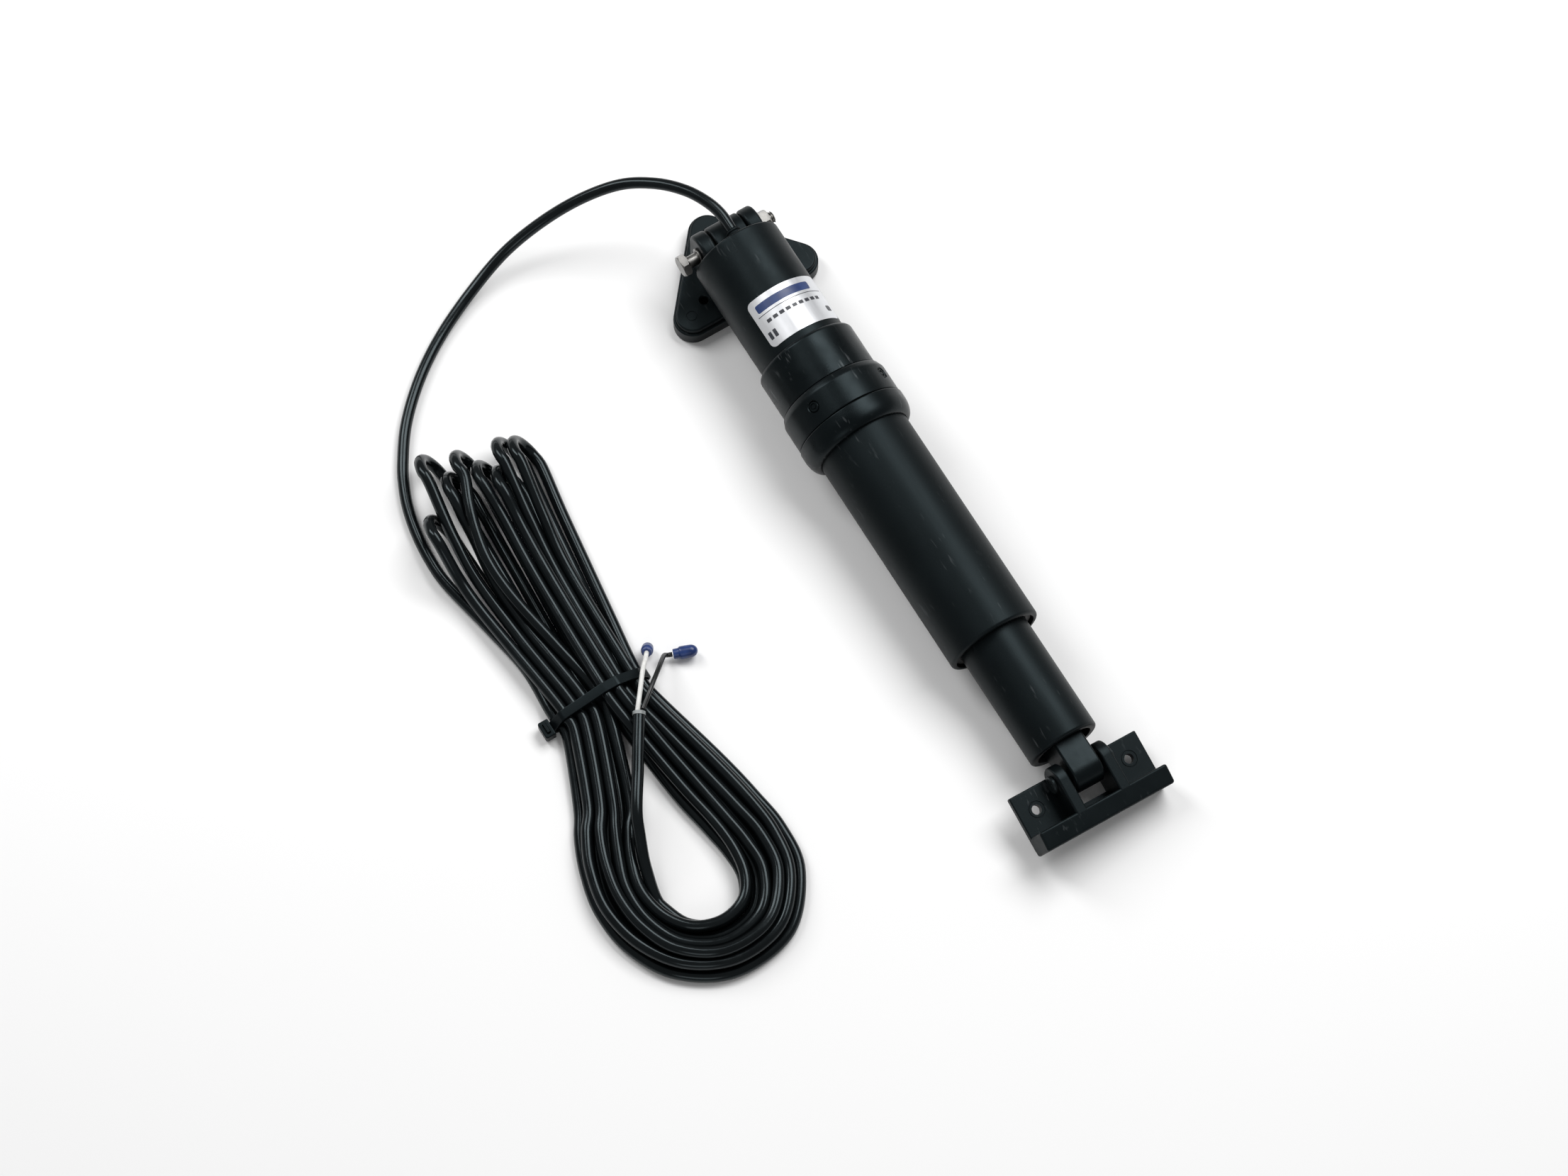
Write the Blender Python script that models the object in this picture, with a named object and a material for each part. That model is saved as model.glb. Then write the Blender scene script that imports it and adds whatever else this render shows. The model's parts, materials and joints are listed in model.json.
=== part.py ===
"""Linear actuator for a boat trim tab, lying on a table with its supply cable tied in a hank.

A 12 V motor turns two planetary stages and a lead screw, and the screw pushes a ram out of a
tube. A flat bracket swivels on a bolt at the motor end, and a small wing bracket swivels on a
pin at the ram's eye. World frame: +X runs from the motor end to the ram end, +Z is up, and the
floor is z = 0. The actuator's own axis dips towards the ram by AXIS_SLOPE.
"""

import math

import bmesh
import bpy
from mathutils import Matrix, Vector

MM = 0.001
GAP = 0.3 * MM

# Pose on the table
AXIS_SLOPE = math.radians(2.88)
BOLT_CENTRE = Vector((-152.5 * MM, 0.0, 35.6 * MM))
RAM_ROLL = math.radians(-8.0)
WING_TILT = math.radians(11.4)

# Stations along the actuator's axis, counted from the motor housing's rim
BOLT_STATION = -11.0 * MM
SKIRT_START = -5.0 * MM
HOUSING_END = 62.0 * MM
GEAR_HOUSING_START = 57.5 * MM
GEAR_HOUSING_END = 81.0 * MM
COLLAR_END = 98.7 * MM
NOSE_END = 111.0 * MM
TUBE_START = 84.3 * MM
TUBE_END = 226.0 * MM
RAM_START = 150.0 * MM
RAM_END = 285.0 * MM
PIN_STATION = 298.5 * MM

# Radii of the body, outside and inside
MOTOR_HOUSING_RADIUS = 22.6 * MM
MOTOR_HOUSING_BORE = 20.0 * MM
SKIRT_BORE = 20.2 * MM
GEAR_HOUSING_RADIUS = 25.4 * MM
GEAR_HOUSING_BORE = 21.8 * MM
COLLAR_RADIUS = 27.6 * MM
NOSE_RADIUS = 28.1 * MM
TUBE_RADIUS = 23.4 * MM
TUBE_BORE = 20.8 * MM
RAM_RADIUS = 17.65 * MM
RAM_BORE = 14.0 * MM

# Gears of both planetary stages
MODULE = 0.75 * MM
SUN_TEETH = 12
PLANET_TEETH = 18
RING_TEETH = 48
TOOTH_HALF = 0.25 * math.pi * MODULE
BACKLASH = 0.22 * MM
PLANET_COUNT = 3
CARRIER_RADIUS = 0.5 * MODULE * (SUN_TEETH + PLANET_TEETH)
SUN_BORE = 2.3 * MM
SHAFT_RADIUS = 2.0 * MM

# Lead screw and nut
SCREW_RADIUS = 5.0 * MM
SCREW_START = 84.8 * MM
SCREW_END = 205.0 * MM

# Pivots
LUG_HALF_WIDTH = 8.5 * MM
LUG_RADIUS = 10.5 * MM
BOLT_RADIUS = 3.0 * MM
EAR_INNER = 9.2 * MM
EAR_OUTER = 16.5 * MM
EAR_FRONT_FOOT = 2.5 * MM
EAR_ARC_START = -70
EYE_HALF_WIDTH = 7.75 * MM
EYE_RADIUS = 9.0 * MM
PIN_RADIUS = 3.0 * MM

# Upper bracket: a rounded triangle with one lobe at the back and two in front
PLATE_THICKNESS = 11.0 * MM
LOBE_RADIUS = 9.5 * MM
BACK_LOBE_X = -21.5 * MM
FRONT_LOBE_X = 14.6 * MM
FRONT_LOBE_Y = 30.0 * MM
PLATEAU_INSET = 1.1 * MM
SKIRT_HEIGHT = 8.2 * MM
SCREW_HOLE_RADIUS = 2.2 * MM

# Lower bracket, in its own frame: the pin is the origin and the wing lies below it
WING_WIDTH = 71.0 * MM
WING_FRONT = -4.1 * MM
BAR_START = 16.3 * MM
BAR_END = 25.9 * MM
BRACKET_BOTTOM = -9.0 * MM
BRACKET_TOP = 8.0 * MM
WING_THICKNESS = 3.4 * MM
WING_EAR_INNER = 9.35 * MM
WING_EAR_OUTER = 14.95 * MM

# Supply cable
CABLE_RADIUS = 2.85 * MM
GLAND_HEIGHT = 15.2 * MM
HANK_HEIGHT = 17.0 * MM
WAIST_X = 159.0 * MM
WAIST_Y = -168.0 * MM
WAIST_HALF_WIDTH = 23.0 * MM
TIE_WIDTH = 4.8 * MM
TIE_THICKNESS = 1.3 * MM

# Sides of a turned piece: the outer shells and the pieces inside them
SHELL_STEPS = 36
INNER_STEPS = 22


def clear_scene():
    for obj in list(bpy.data.objects):
        bpy.data.objects.remove(obj, do_unlink=True)


def material(name, colour, roughness, metallic=0.0):
    """One Principled material for one sub-part."""
    mat = bpy.data.materials.new(name)
    mat.use_nodes = True
    shader = mat.node_tree.nodes["Principled BSDF"]
    shader.inputs["Base Color"].default_value = (*colour, 1.0)
    shader.inputs["Roughness"].default_value = roughness
    shader.inputs["Metallic"].default_value = metallic
    return mat


def black_plastic(name):
    return material(name, (0.016, 0.019, 0.02), 0.45)


def steel(name):
    return material(name, (0.62, 0.62, 0.6), 0.28, 1.0)


def empty(name, parent, matrix):
    """A named frame that pieces are parented to."""
    frame = bpy.data.objects.new(name, None)
    bpy.context.collection.objects.link(frame)
    frame.parent = parent
    frame.matrix_basis = matrix
    return frame


def add_piece(name, bm, parent, mat, at=None):
    """Turn a bmesh into a named object under a frame."""
    bmesh.ops.recalc_face_normals(bm, faces=bm.faces)
    mesh = bpy.data.meshes.new(name)
    bm.to_mesh(mesh)
    bm.free()
    mesh.shade_smooth()
    mesh.set_sharp_from_angle(angle=math.radians(35))
    mesh.materials.append(mat)
    piece = bpy.data.objects.new(name, mesh)
    bpy.context.collection.objects.link(piece)
    piece.parent = parent
    piece.matrix_basis = at or Matrix()
    return piece


def lathe(profile, steps=INNER_STEPS, axis="X"):
    """A closed solid turned about an axis from a loop of (station, radius) points."""
    bm = bmesh.new()
    rings = []
    for station, radius in profile:
        if radius < 1e-9:
            rings.append([bm.verts.new((station, 0.0, 0.0))])
            continue
        ring = []
        for i in range(steps):
            angle = 2 * math.pi * i / steps
            ring.append(bm.verts.new((station, radius * math.cos(angle), radius * math.sin(angle))))
        rings.append(ring)
    for first, second in zip(rings, rings[1:] + rings[:1]):
        join_rings(bm, first, second, steps)
    turns = {"X": Matrix(), "Y": Matrix.Rotation(math.pi / 2, 4, "Z"), "Z": Matrix.Rotation(-math.pi / 2, 4, "Y")}
    bmesh.ops.transform(bm, matrix=turns[axis], verts=bm.verts)
    return bm


def join_rings(bm, first, second, steps):
    """Faces between two rings, where either may be a single point on the axis."""
    if len(first) == 1 and len(second) == 1:
        return
    for i in range(steps):
        j = (i + 1) % steps
        if len(first) == 1:
            bm.faces.new((first[0], second[j], second[i]))
        elif len(second) == 1:
            bm.faces.new((first[i], first[j], second[0]))
        else:
            bm.faces.new((first[i], first[j], second[j], second[i]))


def tube(start, end, outer, inner, edge=0.0):
    """Profile of a plain tube with an optional rounded outer edge at its far end."""
    profile = [(start, inner), (start, outer)]
    if edge:
        profile += arc(end - edge, outer - edge, edge, 90, 0, 2)
    else:
        profile.append((end, outer))
    profile.append((end, inner))
    return profile


def rod(start, end, radius):
    return [(start, 0.0), (start, radius), (end, radius), (end, 0.0)]


def arc(cx, cy, radius, start, end, steps):
    """Points on an arc, with angles in degrees."""
    points = []
    for i in range(steps + 1):
        angle = math.radians(start + (end - start) * i / steps)
        points.append((cx + radius * math.cos(angle), cy + radius * math.sin(angle)))
    return points


def prism(outline, low, high, axis="Z"):
    """A solid extruded from a flat outline. The outline's two axes follow the extrusion axis."""
    bm = bmesh.new()
    place = {
        "Z": lambda a, b, h: (a, b, h),
        "Y": lambda a, b, h: (a, h, b),
        "X": lambda a, b, h: (h, a, b),
    }[axis]
    bottom = [bm.verts.new(place(a, b, low)) for a, b in outline]
    top = [bm.verts.new(place(a, b, high)) for a, b in outline]
    bm.faces.new(bottom)
    bm.faces.new(top)
    for i in range(len(outline)):
        j = (i + 1) % len(outline)
        bm.faces.new((bottom[i], bottom[j], top[j], top[i]))
    return bm


def box(x0, x1, y0, y1, z0, z1):
    return prism([(x0, y0), (x1, y0), (x1, y1), (x0, y1)], z0, z1)


def combine(piece, bm, operation, label):
    """A Boolean modifier whose other shape is a hidden guide."""
    bmesh.ops.recalc_face_normals(bm, faces=bm.faces)
    mesh = bpy.data.meshes.new(label)
    bm.to_mesh(mesh)
    bm.free()
    guide = bpy.data.objects.new(label, mesh)
    bpy.context.collection.objects.link(guide)
    guide.parent = piece.parent
    guide.matrix_basis = piece.matrix_basis.copy()
    guide.display_type = "WIRE"
    guide.hide_render = True
    modifier = piece.modifiers.new(label, "BOOLEAN")
    modifier.operation = operation
    modifier.solver = "EXACT"
    modifier.object = guide


def cut(piece, bm, label):
    combine(piece, bm, "DIFFERENCE", label)


def weld_on(piece, bm, label):
    combine(piece, bm, "UNION", label)


def moved(bm, offset):
    bmesh.ops.translate(bm, vec=Vector(offset), verts=bm.verts)
    return bm


# ---------------------------------------------------------------- housing


def build_motor_housing(axis):
    """The housing's end wall stands back in a short skirt that the bracket's ears reach into."""
    rim = 1.2 * MM
    wall = 4.0 * MM
    profile = [(0.0, 0.0), (0.0, SKIRT_BORE), (SKIRT_START, SKIRT_BORE + 0.3 * MM)]
    profile += arc(SKIRT_START + rim, MOTOR_HOUSING_RADIUS - rim, rim, 180, 90, 3)
    profile += [(HOUSING_END, MOTOR_HOUSING_RADIUS), (HOUSING_END, MOTOR_HOUSING_BORE)]
    profile += [(wall, MOTOR_HOUSING_BORE), (wall, 0.0)]
    housing = add_piece("motor_housing", lathe(profile, SHELL_STEPS), axis, black_plastic("motor_housing"))
    root = 2.0 * MM
    outline = [(root, -LUG_RADIUS), (root, LUG_RADIUS)]
    outline += arc(BOLT_STATION, 0.0, LUG_RADIUS, 90, 270, 10)
    weld_on(housing, prism(outline, -LUG_HALF_WIDTH, LUG_HALF_WIDTH, "Y"), "lug_shape")
    bolt_hole = lathe(rod(-12 * MM, 12 * MM, BOLT_RADIUS + GAP), 16, "Y")
    cut(housing, moved(bolt_hole, (BOLT_STATION, 0, 0)), "lug_hole")
    gland_hole = lathe(rod(-4 * MM, 8 * MM, 4.0 * MM), 20)
    cut(housing, moved(gland_hole, (0, 0, GLAND_HEIGHT)), "gland_hole")
    return housing


def build_label(axis):
    """A thin silver sticker that wraps over the top of the motor housing."""
    inner = MOTOR_HOUSING_RADIUS + GAP
    outer = inner + 0.15 * MM
    start, end = 28.6 * MM, 53.8 * MM
    low, high, steps = -43.0, 68.0, 14
    bm = bmesh.new()
    columns = []
    for i in range(steps + 1):
        angle = math.radians(low + (high - low) * i / steps)
        inset = 2.5 * MM if i in (0, steps) else 0.0
        column = []
        for radius in (inner, outer):
            for x in (start + inset, end - inset):
                column.append(bm.verts.new((x, radius * math.sin(angle), radius * math.cos(angle))))
        columns.append(column)
    for a, b in zip(columns, columns[1:]):
        for i, j in ((0, 1), (1, 3), (3, 2), (2, 0)):
            bm.faces.new((a[i], a[j], b[j], b[i]))
    for column in (columns[0], columns[-1]):
        bm.faces.new((column[0], column[1], column[3], column[2]))
    add_piece("rating_label", bm, axis, material("rating_label", (0.78, 0.79, 0.8), 0.3, 0.6))


def build_gear_housing(axis):
    round_over = 2.2 * MM
    spigot_end = HOUSING_END + GAP
    spigot_radius = MOTOR_HOUSING_RADIUS + GAP
    profile = [(GEAR_HOUSING_START, spigot_radius)]
    profile += arc(GEAR_HOUSING_START + round_over, GEAR_HOUSING_RADIUS - round_over, round_over, 180, 90, 3)
    profile += [(GEAR_HOUSING_END, GEAR_HOUSING_RADIUS), (GEAR_HOUSING_END, GEAR_HOUSING_BORE)]
    profile += [(spigot_end, GEAR_HOUSING_BORE), (spigot_end, spigot_radius)]
    add_piece("gear_housing", lathe(profile, SHELL_STEPS), axis, black_plastic("gear_housing"))


def build_collar(axis):
    """The joint collar with four round plugs over its screws."""
    step = 3.0 * MM
    profile = [(GEAR_HOUSING_END + GAP, 22.0 * MM), (GEAR_HOUSING_END + GAP, 26.3 * MM)]
    profile += [(GEAR_HOUSING_END + 0.5 * step, 27.0 * MM), (GEAR_HOUSING_END + step, COLLAR_RADIUS)]
    profile += [(COLLAR_END, COLLAR_RADIUS), (COLLAR_END, TUBE_RADIUS + GAP)]
    profile += [(TUBE_START - GAP, TUBE_RADIUS + GAP), (TUBE_START - GAP, 22.0 * MM)]
    collar = add_piece("joint_collar", lathe(profile, SHELL_STEPS), axis, black_plastic("joint_collar"))
    for i in range(4):
        turn = Matrix.Rotation(math.radians(36 - 90 * i), 4, "X")
        seat = Matrix.Translation((90.0 * MM, 0, 0)) @ turn
        hole = lathe(rod(25.4 * MM, 30 * MM, 2.8 * MM), 10, "Z")
        bmesh.ops.transform(hole, matrix=seat, verts=hole.verts)
        cut(collar, hole, f"plug_hole_{i + 1}")
        plug = lathe(rod(25.7 * MM, COLLAR_RADIUS - 0.15 * MM, 2.5 * MM), 10, "Z")
        add_piece(f"collar_plug_{i + 1}", plug, axis, black_plastic(f"collar_plug_{i + 1}"), seat)


def build_nose_cap(axis):
    """The end cap that rounds down from its band to the outer tube."""
    band_end = 103.0 * MM
    start = COLLAR_END + GAP
    bore = TUBE_RADIUS + GAP
    profile = [(start, bore), (start, NOSE_RADIUS - 0.5 * MM), (start + 0.5 * MM, NOSE_RADIUS)]
    for i in range(6):
        angle = math.radians(18 * i)
        length = NOSE_END - band_end
        drop = NOSE_RADIUS - bore - 0.5 * MM
        x = band_end + length * math.sin(angle)
        profile.append((x, bore + 0.5 * MM + drop * math.cos(angle)))
    profile.append((NOSE_END, bore))
    add_piece("nose_cap", lathe(profile, SHELL_STEPS), axis, black_plastic("nose_cap"))


def build_outer_tube(axis):
    add_piece("outer_tube", lathe(tube(TUBE_START, TUBE_END, TUBE_RADIUS, TUBE_BORE, 1.6 * MM), SHELL_STEPS),
              axis, black_plastic("outer_tube"))
    bush = tube(198 * MM, 214 * MM, TUBE_BORE - GAP, RAM_RADIUS + GAP)
    add_piece("ram_guide_bush", lathe(bush), axis, material("ram_guide_bush", (0.7, 0.68, 0.6), 0.5))
    wiper = tube(216 * MM, 224 * MM, TUBE_BORE - GAP, RAM_RADIUS + GAP)
    add_piece("ram_wiper_seal", lathe(wiper), axis, material("ram_wiper_seal", (0.01, 0.01, 0.01), 0.6))
    ring = tube(92 * MM, 94.5 * MM, TUBE_BORE - GAP, TUBE_BORE - 2.5 * MM)
    add_piece("tube_retaining_ring", lathe(ring), axis, steel("tube_retaining_ring"))


def build_cable_gland(axis):
    """A sleeve through the end wall, with a flange and a tapered strain relief behind it."""
    bore = CABLE_RADIUS + GAP
    profile = [(3.7 * MM, bore), (3.7 * MM, 3.7 * MM), (-GAP, 3.7 * MM), (-GAP, 4.4 * MM)]
    profile += [(-2.2 * MM, 4.4 * MM), (-2.2 * MM, 4.0 * MM), (-9.0 * MM, 3.5 * MM), (-9.0 * MM, bore)]
    add_piece("cable_gland", moved(lathe(profile, 16), (0, 0, GLAND_HEIGHT)), axis,
              material("cable_gland", (0.012, 0.013, 0.014), 0.55))


# ---------------------------------------------------------------- motor and gears


def build_motor_body(axis):
    add_piece("motor_can", lathe(tube(8 * MM, 54 * MM, 18.5 * MM, 17.0 * MM)), axis, steel("motor_can"))
    bell = tube(5.0 * MM, 7.7 * MM, 18.5 * MM, 2.6 * MM)
    add_piece("motor_end_bell", lathe(bell), axis, material("motor_end_bell", (0.5, 0.47, 0.4), 0.5))
    plate = tube(56.9 * MM, 59.9 * MM, 19.7 * MM, 4.0 * MM)
    add_piece("motor_mount_plate", lathe(plate), axis, steel("motor_mount_plate"))
    for i in range(2):
        build_magnet(axis, i)
        brush = box(11 * MM, 15 * MM, -2 * MM, 2 * MM, 4.9 * MM, 11 * MM)
        turn = Matrix.Rotation(math.pi * i, 4, "X")
        add_piece(f"brush_{i + 1}", brush, axis, material(f"brush_{i + 1}", (0.05, 0.045, 0.04), 0.6), turn)


def build_magnet(axis, index):
    """One arc magnet inside the motor can."""
    span = 62
    outline = arc(0, 0, 16.7 * MM, -span, span, 7) + arc(0, 0, 13.7 * MM, span, -span, 7)
    turn = Matrix.Rotation(math.pi * index, 4, "X")
    magnet = material(f"magnet_{index + 1}", (0.1, 0.1, 0.11), 0.5, 0.4)
    add_piece(f"magnet_{index + 1}", prism(outline, 17 * MM, 47 * MM, "X"), axis, magnet, turn)


def build_rotor(axis):
    add_piece("motor_shaft", lathe(rod(6.0 * MM, 69.2 * MM, SHAFT_RADIUS), 16), axis, steel("motor_shaft"))
    commutator = tube(10 * MM, 16 * MM, 4.5 * MM, SUN_BORE)
    add_piece("commutator", lathe(commutator), axis, material("commutator", (0.6, 0.3, 0.15), 0.35, 1.0))
    slots = 7
    outline = []
    for i in range(slots):
        start = 360 * i / slots
        outline += arc(0, 0, 12.9 * MM, start + 5, start + 360 / slots - 5, 3)
        outline.append((8.5 * MM * math.cos(math.radians(start + 360 / slots)),
                        8.5 * MM * math.sin(math.radians(start + 360 / slots))))
    armature = add_piece("armature", prism(outline, 18 * MM, 46 * MM, "X"), axis,
                         material("armature", (0.35, 0.33, 0.32), 0.45, 0.8))
    cut(armature, lathe(rod(10 * MM, 50 * MM, SUN_BORE), 16), "armature_bore")
    build_sun("sun_gear_1", axis, 63.2 * MM, 69.0 * MM)


def toothed_circle(teeth, below, above, half, phase=0.0):
    """Tooth outline with straight flanks, from a depth below the pitch circle to a height above it."""
    pitch = 0.5 * MODULE * teeth
    slope = math.tan(math.radians(20))
    root, tip = pitch - below, pitch + above
    at_root = (half + below * slope) / root
    at_tip = (half - above * slope) / tip
    points = []
    for i in range(teeth):
        middle = 2 * math.pi * i / teeth + phase
        for radius, turn in ((root, -at_root), (tip, -at_tip), (tip, at_tip), (root, at_root)):
            points.append((radius * math.cos(middle + turn), radius * math.sin(middle + turn)))
    return points


def gear_with_bore(name, parent, low, high, teeth, bore, phase, mat, at=None):
    outline = toothed_circle(teeth, 1.2 * MODULE, 0.92 * MODULE, TOOTH_HALF - 0.5 * BACKLASH, phase)
    gear = add_piece(name, prism(outline, low, high, "X"), parent, mat, at)
    cut(gear, lathe(rod(low - MM, high + MM, bore), 16), f"{name}_bore")
    return gear


def build_sun(name, axis, low, high):
    """A sun gear turned half a tooth, so that its gaps face the planets' inward teeth."""
    half_tooth = math.pi / SUN_TEETH
    gear_with_bore(name, axis, low, high, SUN_TEETH, SUN_BORE, half_tooth, steel(name))


def build_ring_gear(axis):
    low, high = 62.7 * MM, 79.0 * MM
    shell = add_piece("ring_gear", lathe(rod(low, high, GEAR_HOUSING_BORE - GAP)), axis, steel("ring_gear"))
    cavity = toothed_circle(RING_TEETH, 0.85 * MODULE, 1.2 * MODULE, TOOTH_HALF + 0.5 * BACKLASH)
    cut(shell, prism(cavity, low - MM, high + MM, "X"), "ring_teeth")


def planet_offsets():
    """Where the planets sit round the axis: equal steps, so that each meshes without a turn."""
    angles = [2 * math.pi * i / PLANET_COUNT for i in range(PLANET_COUNT)]
    return [(0.0, CARRIER_RADIUS * math.cos(angle), CARRIER_RADIUS * math.sin(angle)) for angle in angles]


def build_stage(axis, stage, gear_low, gear_high, disc_low, disc_high):
    """Three planets and the carrier that holds their pins."""
    for i, offset in enumerate(planet_offsets()):
        name = f"planet_{stage}_{i + 1}"
        gear_with_bore(name, axis, gear_low, gear_high, PLANET_TEETH, 1.8 * MM, 0.0,
                       material(name, (0.75, 0.7, 0.55), 0.4), Matrix.Translation(offset))
    bore = tube(disc_low, disc_high, 15.2 * MM, 1.0 * MM)
    carrier = add_piece(f"carrier_{stage}", lathe(bore), axis, steel(f"carrier_{stage}"))
    for i, offset in enumerate(planet_offsets()):
        pin = moved(lathe(rod(gear_low - 0.2 * MM, disc_low + 0.5 * MM, 1.5 * MM), 12), offset)
        weld_on(carrier, pin, f"carrier_{stage}_pin_{i + 1}")
    return carrier


def build_gears(axis):
    build_ring_gear(axis)
    first = build_stage(axis, 1, 63.2 * MM, 69.0 * MM, 70.0 * MM, 71.5 * MM)
    weld_on(first, lathe(rod(71.0 * MM, 77.2 * MM, SHAFT_RADIUS), 16), "carrier_1_hub")
    build_sun("sun_gear_2", axis, 72.0 * MM, 77.0 * MM)
    second = build_stage(axis, 2, 72.0 * MM, 77.0 * MM, 77.6 * MM, 79.0 * MM)
    weld_on(second, lathe(rod(78.4 * MM, 84.5 * MM, 5.0 * MM), 16), "carrier_2_hub")


def build_screw(axis):
    add_piece("lead_screw", lathe(rod(SCREW_START, SCREW_END, SCREW_RADIUS), 16), axis, steel("lead_screw"))
    plate = tube(79.5 * MM, 83.7 * MM, 21.5 * MM, 8.2 * MM)
    add_piece("bearing_plate", lathe(plate), axis, steel("bearing_plate"))
    bearing = tube(79.7 * MM, 83.5 * MM, 7.9 * MM, 5.3 * MM)
    add_piece("screw_bearing", lathe(bearing), axis, steel("screw_bearing"))


# ---------------------------------------------------------------- ram


def build_ram(axis):
    ram = tube(RAM_START, RAM_END, RAM_RADIUS, RAM_BORE, 1.4 * MM)
    add_piece("ram_tube", lathe(ram, SHELL_STEPS), axis, black_plastic("ram_tube"))
    ring = tube(RAM_START, 162 * MM, TUBE_BORE - GAP, RAM_RADIUS + GAP)
    add_piece("ram_guide_ring", lathe(ring), axis, material("ram_guide_ring", (0.7, 0.68, 0.6), 0.5))
    nut = tube(151 * MM, 171 * MM, RAM_BORE - GAP, SCREW_RADIUS + GAP)
    add_piece("drive_nut", lathe(nut), axis, material("drive_nut", (0.72, 0.55, 0.25), 0.35, 1.0))
    plug = lathe(rod(262 * MM, 281.5 * MM, RAM_BORE - GAP))
    eye = add_piece("rod_eye", plug, axis, black_plastic("rod_eye"))
    outline = [(280 * MM, -EYE_RADIUS), (280 * MM, EYE_RADIUS)]
    outline += list(reversed(arc(PIN_STATION, 0, EYE_RADIUS, -90, 90, 12)))
    weld_on(eye, prism(outline, -EYE_HALF_WIDTH, EYE_HALF_WIDTH, "Y"), "eye_tongue")
    hole = lathe(rod(-10 * MM, 10 * MM, PIN_RADIUS + GAP), 16, "Y")
    cut(eye, moved(hole, (PIN_STATION, 0, 0)), "eye_hole")


def wing_ear_outline():
    """Side view of an ear: a round nose about the pin, running back to the bar."""
    nose = BRACKET_TOP
    outline = arc(0, 0, nose, 90, 230, 8)
    outline += [(WING_FRONT + 1.5 * MM, BRACKET_BOTTOM + 0.5 * WING_THICKNESS)]
    outline += [(BAR_START + MM, BRACKET_BOTTOM + 0.5 * WING_THICKNESS), (BAR_START + MM, BRACKET_TOP)]
    return outline


def build_lower_bracket(pivot):
    half = 0.5 * WING_WIDTH
    wing_top = BRACKET_BOTTOM + WING_THICKNESS
    bar = [(BAR_START, BRACKET_BOTTOM), (BAR_END, BRACKET_BOTTOM), (BAR_END, BRACKET_TOP - 1.8 * MM)]
    bar += [(BAR_END - 1.6 * MM, BRACKET_TOP - 0.4 * MM), (BAR_START + 0.5 * MM, BRACKET_TOP)]
    bar += [(BAR_START, BRACKET_TOP - 0.5 * MM), (BAR_START, wing_top)]
    bar += [(WING_FRONT, wing_top), (WING_FRONT, BRACKET_BOTTOM)]
    bracket = add_piece("lower_bracket", prism(bar, -half, half, "Y"), pivot, black_plastic("lower_bracket"))
    pocket = box(-20 * MM, BAR_START - 2 * MM, -WING_EAR_INNER, WING_EAR_INNER, -20 * MM, 20 * MM)
    for side in (-1, 1):
        ear = prism(wing_ear_outline(), side * WING_EAR_INNER, side * WING_EAR_OUTER, "Y")
        weld_on(bracket, ear, "left_ear" if side < 0 else "right_ear")
    cut(bracket, pocket, "eye_pocket")
    pin_hole = lathe(rod(-20 * MM, 20 * MM, PIN_RADIUS + GAP), 16, "Y")
    cut(bracket, pin_hole, "pin_hole")
    for side in (-1, 1):
        screw = lathe(rod(-20 * MM, 0.0, 2.4 * MM), 16, "Z")
        cut(bracket, moved(screw, (6.2 * MM, side * 26.0 * MM, 0)), f"wing_screw_hole_{side + 2}")
    reach = WING_EAR_OUTER + GAP
    pin = [(-reach - 1.4 * MM, 0.0), (-reach - 1.4 * MM, 4.3 * MM), (-reach, 4.6 * MM), (-reach, PIN_RADIUS)]
    pin += [(reach + 2.2 * MM, PIN_RADIUS), (reach + 2.2 * MM, 0.0)]
    add_piece("lower_pin", lathe(pin, 20, "Y"), pivot, black_plastic("lower_pin"))
    clip = tube(reach, reach + 1.2 * MM, 4.8 * MM, PIN_RADIUS + GAP)
    add_piece("lower_pin_clip", lathe(clip, 20, "Y"), pivot, black_plastic("lower_pin_clip"))


# ---------------------------------------------------------------- upper bracket


def rounded_triangle(radius, corner_steps=6):
    """Outline of the plate: three arcs joined by straight sides."""
    centres = [(BACK_LOBE_X, 0.0), (FRONT_LOBE_X, -FRONT_LOBE_Y), (FRONT_LOBE_X, FRONT_LOBE_Y)]
    outline = []
    for i, centre in enumerate(centres):
        before = Vector(centre) - Vector(centres[i - 1])
        after = Vector(centres[(i + 1) % 3]) - Vector(centre)
        start = math.degrees(math.atan2(before.y, before.x)) - 90
        turn = math.degrees(before.angle_signed(after))
        outline += arc(*centre, radius, start, start - turn, corner_steps)
    return outline


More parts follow.
